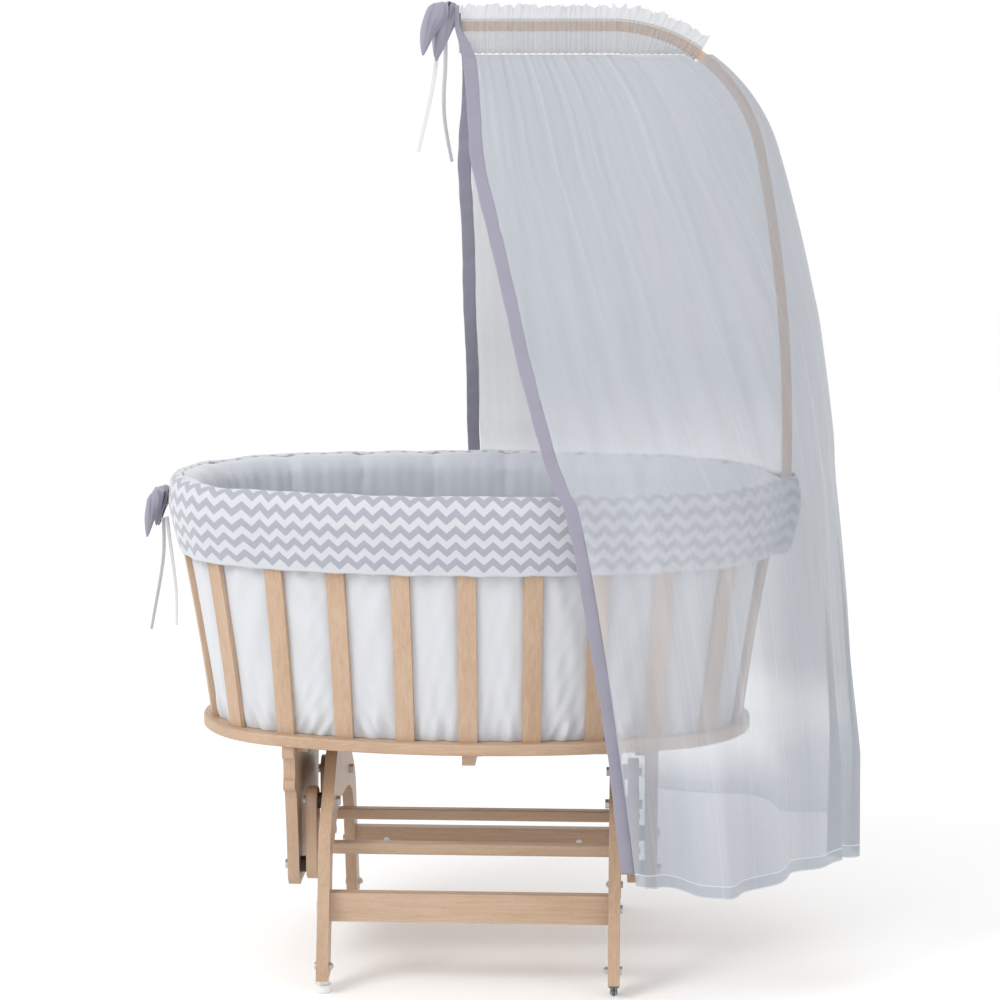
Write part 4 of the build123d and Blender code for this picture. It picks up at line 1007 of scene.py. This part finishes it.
def net_veil(share, x, z):
    """What the tulle's alpha gains or loses by place. Below the basket the near side is seen
    through more folds and the far side through fewer, and nothing shows inside the sleeve."""
    below = smooth_step(0.44, 0.36, z)
    far = smooth_step(0.42, 0.58, share)
    from_bend = np.hypot(x - BEND_X, z - BEND_Z)
    turned = np.arctan2(x - BEND_X, z - BEND_Z)
    seam = BEND_R - SLEEVE_DEPTH * sleeve_taper(turned)
    in_sleeve = smooth_step(seam - 0.002, seam + 0.003, from_bend)
    in_sleeve = in_sleeve * smooth_step(0.64, 0.60, turned) * (x > BEND_X)
    return below * (0.22 - 0.50 * far) - in_sleeve


def hump(x, middle, width):
    """A rounded hump exp(-((x - middle) / width)^2)."""
    return np.exp(-((x - middle) / width) ** 2)


def net_sheet(rows=430, columns=216):
    """The whole sheet as a grid: share along the U by share of the way down."""
    share = np.linspace(0, 1, rows)[:, None]
    down = np.linspace(0, 1, columns)[None, :]
    far_side = smooth_step(0.80, 0.865, share)
    hem = NET_HEM + (FAR_HEM + 0.010 - NET_HEM) * far_side
    hem = hem + 0.004 * np.sin(2 * math.pi * 9 * share) * (1 - far_side)
    hem = hem - 0.014 * hump(share, 0.14, 0.05) + 0.010 * hump(share, 0.32, 0.06)
    hem = hem - 0.010 * hump(share, 0.5, 0.05) + 0.010 * hump(share, 0, 0.02)
    z = NET_TOP + (hem - NET_TOP) * down
    move, density = net_folds(share, down)
    x, _ = net_point(share + 0 * down, z)
    ridges = fan_folds(x, z)
    move = move + 0.0040 * ridges * smooth_step(0.05, 0.3, down)
    density = np.clip(0.65 * density + 0.8 * ridges, 0, 1)
    move = move * (1 - 0.6 * hump(z, NET_RIM, 0.06)) - 0.004 * smooth_step(0.5, 1, down)
    x, y = net_point(share + 0 * down, z, move)
    points = np.stack([x, y, z + 0 * x], -1)
    return points, density + 0 * x, hem + 0 * x, net_veil(share, x, z)


points, density, hem, veil = net_sheet()
run = np.linspace(0, 2.2, points.shape[0])[:, None] + 0 * density
net = grid_piece("net_sheet", points, (run, points[..., 2] - hem),
                 fields={"density": density, "veil": veil})
put(net, "cradle", net_tulle, "tulle", "net_near", "net_far", "net_end")

# %% [markdown]
# ## Trims
# The two front edges of the net are bound with lilac-grey cotton, a folded strip 20 mm wide.
# A binding is stiffer than the tulle, so it hangs in long easy curves with small puckers.

# %% Trims


def trim(name, share, hem, seed, node, top):
    """A closed strip: across it runs from the net's edge outwards 20 mm, on two faces 2 mm
    apart, with puckers that tilt it slightly. Above the net it narrows and follows the end
    of the sleeve up to the frill."""
    down = np.linspace(0, 1, 300)[:, None]
    z = top + (hem - 0.001 - top) * down
    half, near, far, _ = section(np.minimum(z, NET_TOP))
    above = smooth_step(NET_TOP - 0.008, NET_TOP + 0.050, z)
    edge = (near if share == 0 else far) - 0.0095
    edge = edge + 0.005 * smooth_step(NET_TOP - 0.17, NET_TOP - 0.02, z)
    edge = edge + (TIP_X - 0.0020 - edge) * above
    sign = -1.0 if share == 0 else 1.0
    turn = np.linspace(0, 2 * math.pi, 28, endpoint=False)[None, :]
    across = np.cos(turn)
    across = np.sign(across) * np.abs(across) ** 0.35
    thick = np.sin(turn) * 0.0011
    pucker = 0.0011 * wander(down, seed, waves=9, low=12, high=60) * across
    sway = 0.0024 * wander(down, seed + 1, waves=4, low=1, high=6) * (1 - above)
    gather = 0.0014 * np.exp(-((z - NET_TOP) / 0.05) ** 2) * np.sin(z * 900 + across * 0.8)
    width = (0.0102 + 0.0005 * wander(down, seed + 2, low=6, high=30)) * (1 - 0.62 * above)
    x = edge + across * width
    y = sign * (half + 0.0016 + thick + pucker + gather) + sway * 0.5
    points = np.stack([x + sway, y + 0 * x, z + 0 * x], -1)
    if sign > 0:
        points = points[:, ::-1]
    piece = grid_piece(name, points, wrap_columns=True)
    close_ends(piece, points.shape)
    return put(piece, "cradle", lilac, "lilac_grey_cotton", node)


def close_ends(piece, shape, across=False):
    """Fill the first and the last ring of a tube-like grid with one face each. The rings are
    its rows, or its columns if the tube runs across."""
    rows, columns = shape[:2]
    mesh = piece.data
    data = [list(p.vertices) for p in mesh.polygons]
    first = list(range(columns))
    last = [(rows - 1) * columns + c for c in range(columns)][::-1]
    if across:
        first = [r * columns for r in range(rows)][::-1]
        last = [r * columns + columns - 1 for r in range(rows)]
    points = [v.co[:] for v in mesh.vertices]
    mesh.clear_geometry()
    mesh.from_pydata(points, [], data + [first, last])
    mesh.polygons.foreach_set("use_smooth", np.ones(len(mesh.polygons), bool))
    mesh.update()


near_trim = trim("near_binding", 0, NET_HEM + 0.028, 31, "near_trim", POLE_TOP_Z + 0.031)
far_trim = trim("far_binding", 1, FAR_HEM, 41, "far_trim", POLE_TOP_Z + 0.020)

# %% [markdown]
# ## Casing and ruffle
# Above the net the tulle is sewn into a sleeve round the pole, pushed together into hundreds
# of tiny gathers, and its free edge stands up above the pole as a frilly ruffle.

# %% Casing
HEADER_BEND = math.radians(55.0)
LEVEL_RUN = BEND_X - TIP_X
HEADER_RUN = LEVEL_RUN + BEND_R * (math.pi / 2 - HEADER_BEND)


def along_pole(s, offset):
    """(x, z) at a distance along the pole from its tip, moved outwards by an offset: level
    first, then round the bend's centre."""
    angle = math.pi / 2 - np.maximum(s - LEVEL_RUN, 0) / BEND_R
    radius = BEND_R + offset
    level = s < LEVEL_RUN
    x = np.where(level, TIP_X + s, BEND_X + radius * np.cos(angle))
    z = np.where(level, POLE_TOP_Z + offset, BEND_Z + radius * np.sin(angle))
    return x, z


def casing_points(rows=620):
    """A loop round the pole carried along it. The loop runs from the seam under the pole, up
    the near side, over the top and down the far side; gathers move it outwards, and round
    the bend its lower part draws in."""
    near = [(-0.0012, -SLEEVE_DEPTH), (-0.006, -0.034), (-0.0115, -0.020), (-0.0125, -0.006),
            (-0.012, 0.005), (-0.007, 0.0105)]
    loop = np.array(near + [(0.0, 0.0115)] + [(-y, up) for y, up in near[::-1]])
    length = np.concatenate([[0], np.cumsum(np.hypot(*np.diff(loop, axis=0).T))])
    t = np.linspace(0, length[-1], 42)
    y = np.interp(t, length, loop[:, 0])[None, :]
    up = np.interp(t, length, loop[:, 1])[None, :]
    s = np.linspace(0, HEADER_RUN, rows)[:, None]
    share = s / HEADER_RUN
    ripple = 0.0004 * np.sin(2 * math.pi * s / 0.0083 + 9 * wander(share, 51)) \
        + 0.0003 * np.sin(2 * math.pi * s / 0.0053 + 12 * wander(share, 52))
    low = smooth_step(0.0, -SLEEVE_DEPTH, up)
    up = np.where(up < 0, up * sleeve_taper((s - LEVEL_RUN) / BEND_R), up)
    y = y + np.sign(y) * ripple * (0.6 + low)
    x, z = along_pole(s + 0 * up, up + 0.0006 * np.sin(2 * math.pi * s / 0.011) * low)
    points = np.stack([x, y + 0 * x, z], -1)
    return points, s + 0 * x, t[None, :] + 0 * x


points, along, around = casing_points()
casing = grid_piece("casing_cloth", points[:, ::-1], (along[:, ::-1], around[:, ::-1]),
                    fields={"density": 0.5 + 0 * along})
put(casing, "cradle", header_tulle, "tulle", "net_casing")
print("casing", len(casing.data.polygons), "faces")

# %% Ruffle


def ruffle_points(rows=900, columns=14):
    """A standing strip: height from the casing's top to the frilled edge, waving sideways
    more and more with height. Edge height and waves change along it."""
    s = np.linspace(0, HEADER_RUN, rows)[:, None]
    share = s / HEADER_RUN
    t = np.linspace(0, 1, columns)[None, :]
    tall = 0.0205 + 0.0026 * np.sin(2 * math.pi * s / 0.034 + 7 * wander(share, 61)) \
        + 0.0014 * np.sin(2 * math.pi * s / 0.0113 + 9 * wander(share, 62))
    wave = np.sin(2 * math.pi * s / 0.0190 + 8 * wander(share, 63)) * 0.62 \
        + np.sin(2 * math.pi * s / 0.0101 + 9 * wander(share, 64)) * 0.38
    y = 0.0058 * wave * t ** 1.2
    shift = 0.0022 * np.sin(2 * math.pi * s / 0.019 + 1.3) * t
    x, z = along_pole(np.clip(s + shift, 0, HEADER_RUN), 0.0105 + tall * t)
    slope = np.abs(np.gradient(wave, axis=0))
    dense = np.clip(slope / slope.max(), 0, 1)
    return np.stack([x, y + 0 * x, z], -1), s + 0 * x, t * 0.022 + 0 * x, dense + 0 * x


points, along, up, dense = ruffle_points()
ruffle = grid_piece("ruffle_frill", points, (along, up), fields={"density": dense + 2.0})
put(ruffle, "cradle", header_tulle, "tulle", "net_ruffle")
print("ruffle", len(ruffle.data.polygons), "faces")

# %% [markdown]
# ## Bows
# Each bow is tied from a wide strip of lilac-grey cotton: two loops that droop forward from a
# knot. A loop is a band bent back on itself, so its middle line is a teardrop; the band is
# pinched at the knot and spreads towards the tip.

# %% Bows


def unit(v):
    return np.asarray(v, float) / np.linalg.norm(v)


def bow_loop(name, knot, bend, tip, broad, width, fat, seed):
    """One drooping loop. Its middle line is a quadratic curve from the knot past the bend
    point to the tip: (1-t)^2 knot + 2t(1-t) bend + t^2 tip. Round that line the cloth is an
    open oval: half-width * cos(a) one way, half-thickness * sin(a) the other."""
    t = np.linspace(0, 1, 64)[:, None]
    a = np.linspace(0.30, 2 * math.pi - 0.30, 56)[None, :]
    u = t[..., None]
    line = (1 - u) ** 2 * knot + 2 * u * (1 - u) * bend + u ** 2 * tip
    along = 2 * (1 - u) * (bend - knot) + 2 * u * (tip - bend)
    along = along / np.linalg.norm(along, axis=-1, keepdims=True)
    side = unit(broad) - (along @ unit(broad))[..., None] * along
    side = side / np.linalg.norm(side, axis=-1, keepdims=True)
    face = np.cross(along, side)
    body = np.sin(math.pi * np.clip(t, 0, 1) ** 0.85) ** 0.7
    half = width / 2 * np.maximum(0.26 * (1 - t) + body, 0.05)
    deep = fat * (0.35 * (1 - t) + body ** 0.8)
    pleat = 1 + 0.10 * np.sin(5 * a + seed) * (1 - 0.6 * t)
    pleat = pleat + 0.05 * np.sin(9 * a + 2.3 * seed + 4 * t)
    crush = 0.0016 * np.sin(11 * t + 2 * a + seed) * body
    points = line + (half * np.cos(a) * (1 + 0.05 * np.sin(6 * t + seed)))[..., None] * side \
        + (deep * np.sin(a) * pleat + crush)[..., None] * face
    piece = grid_piece(name, points)
    thick = piece.modifiers.new("cloth", "SOLIDIFY")
    thick.thickness = 0.0013
    thick.offset = 0.0
    return piece


def bow_knot(name, centre, size):
    """The knot: a small cushion of cloth with pleats that run round it."""
    around = np.linspace(0, 2 * math.pi, 48, endpoint=False)[:, None]
    along = np.linspace(-1.47, 1.47, 25)[None, :]
    pleat = 1 + 0.09 * np.cos(6 * along + 0.6 * np.sin(around))
    ring = np.cos(along) ** 0.6 * pleat
    x = centre[0] + size[0] * ring * np.cos(around)
    z = centre[2] + size[2] * ring * np.sin(around)
    y = centre[1] + size[1] * np.sin(along) + 0 * x
    piece = grid_piece(name, np.stack([x, y, z], -1)[:, ::-1], wrap_rows=True)
    close_ends(piece, x.shape, across=True)
    return piece


def bow(name, node, knot, knot_size, loops):
    """Loops given as (bend, tip, broad side, width, thickness) from the knot, and the knot,
    which stands for the CAD node."""
    knot = np.array(knot)
    for number, (bend, tip, broad, width, fat) in enumerate(loops):
        loop = bow_loop(f"{name}_loop_{number + 1}", knot, knot + np.array(bend),
                        knot + np.array(tip), broad, width, fat, 1.0 + 2.7 * number)
        put(loop, "cradle", lilac, "lilac_grey_cotton")
    tied = bow_knot(f"{name}_knot", knot, knot_size)
    put(tied, "cradle", lilac, "lilac_grey_cotton", node)


rim_bow_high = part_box("rim_bow")[1]
tip_bow_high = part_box("canopy_bow")[1]
bow("rim_bow_cloth", "rim_bow",
    (rim_bow_high.x - 0.010, -0.001, rim_bow_high.z - 0.026), (0.0085, 0.010, 0.012), [
        ((-0.009, -0.048, 0.024), (-0.020, -0.048, -0.054), (0.75, 0.55, 0.35), 0.022, 0.009),
        ((-0.004, -0.020, 0.012), (-0.010, -0.022, -0.040), (0.75, 0.55, 0.35), 0.018, 0.006),
        ((-0.010, 0.050, 0.022), (-0.020, 0.054, -0.052), (0.75, -0.55, 0.35), 0.026, 0.010)])
bow("canopy_bow_cloth", "canopy_bow",
    (tip_bow_high.x - 0.008, -0.001, tip_bow_high.z - 0.014), (0.0085, 0.010, 0.013), [
        ((-0.030, -0.034, 0.014), (-0.043, -0.036, -0.066), (0.80, 0.50, 0.30), 0.030, 0.010),
        ((-0.006, -0.020, 0.004), (-0.024, -0.022, -0.074), (0.80, 0.50, 0.30), 0.026, 0.007),
        ((-0.016, 0.036, 0.014), (-0.030, 0.038, -0.068), (0.80, -0.50, 0.30), 0.030, 0.010)])
print("bows made")

# %% [markdown]
# ## Floor and light
# A plain pale floor and soft light from all round, with one large lamp from the upper left,
# so that the folds and the rails have a lit and a shaded side.

# %% Floor and light
floor_mesh = bpy.data.meshes.new("floor")
floor_mesh.from_pydata([(-9, -9, 0), (9, -9, 0), (9, 12, 0), (-9, 12, 0)], [], [(0, 1, 2, 3)])
floor = bpy.data.objects.new("floor", floor_mesh)
bpy.context.scene.collection.objects.link(floor)
floor_finish = Finish("pale_floor", (0.91, 0.91, 0.91), 0.8, Emission_Color=(1, 1, 1, 1),
                      Emission_Strength=0.08)
floor_mesh.materials.append(floor_finish.material)
floor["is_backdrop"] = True

world = bpy.data.worlds.new("studio")
world.use_nodes = True
background = world.node_tree.nodes["Background"]
background.inputs["Color"].default_value = (1.0, 1.0, 1.0, 1.0)
background.inputs["Strength"].default_value = 1.0
bpy.context.scene.world = world


def lamp(name, place, target, size, watts):
    """A square lamp at a place, turned to face a target."""
    data = bpy.data.lights.new(name, "AREA")
    data.size = size
    data.energy = watts
    light = bpy.data.objects.new(name, data)
    light.location = place
    towards = np.array(target) - np.array(place)
    flat = math.hypot(towards[0], towards[1])
    light.rotation_euler = (math.atan2(flat, -towards[2]), 0, math.atan2(-towards[0], towards[1]))
    bpy.context.scene.collection.objects.link(light)


lamp("key", (-2.4, -2.2, 3.2), (0, 0, 0.6), 1.6, 68)
lamp("fill", (2.8, -2.4, 1.6), (0.1, 0, 0.6), 2.0, 12)
bpy.context.scene.view_settings.view_transform = "Standard"

# %% [markdown]
# ## Check and finish
# Cloth may reach a few millimetres past the CAD model's box. The visual model's box is
# measured, and its difference from the CAD model's box is printed in millimetres.

# %% Sizes and finish
visual_box = [list(corner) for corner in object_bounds()]
grown = [[round(1000 * (v - c), 1) for v, c in zip(a, b)] for a, b in zip(visual_box, cad_box)]
print("visual box minus CAD box, mm:", grown)
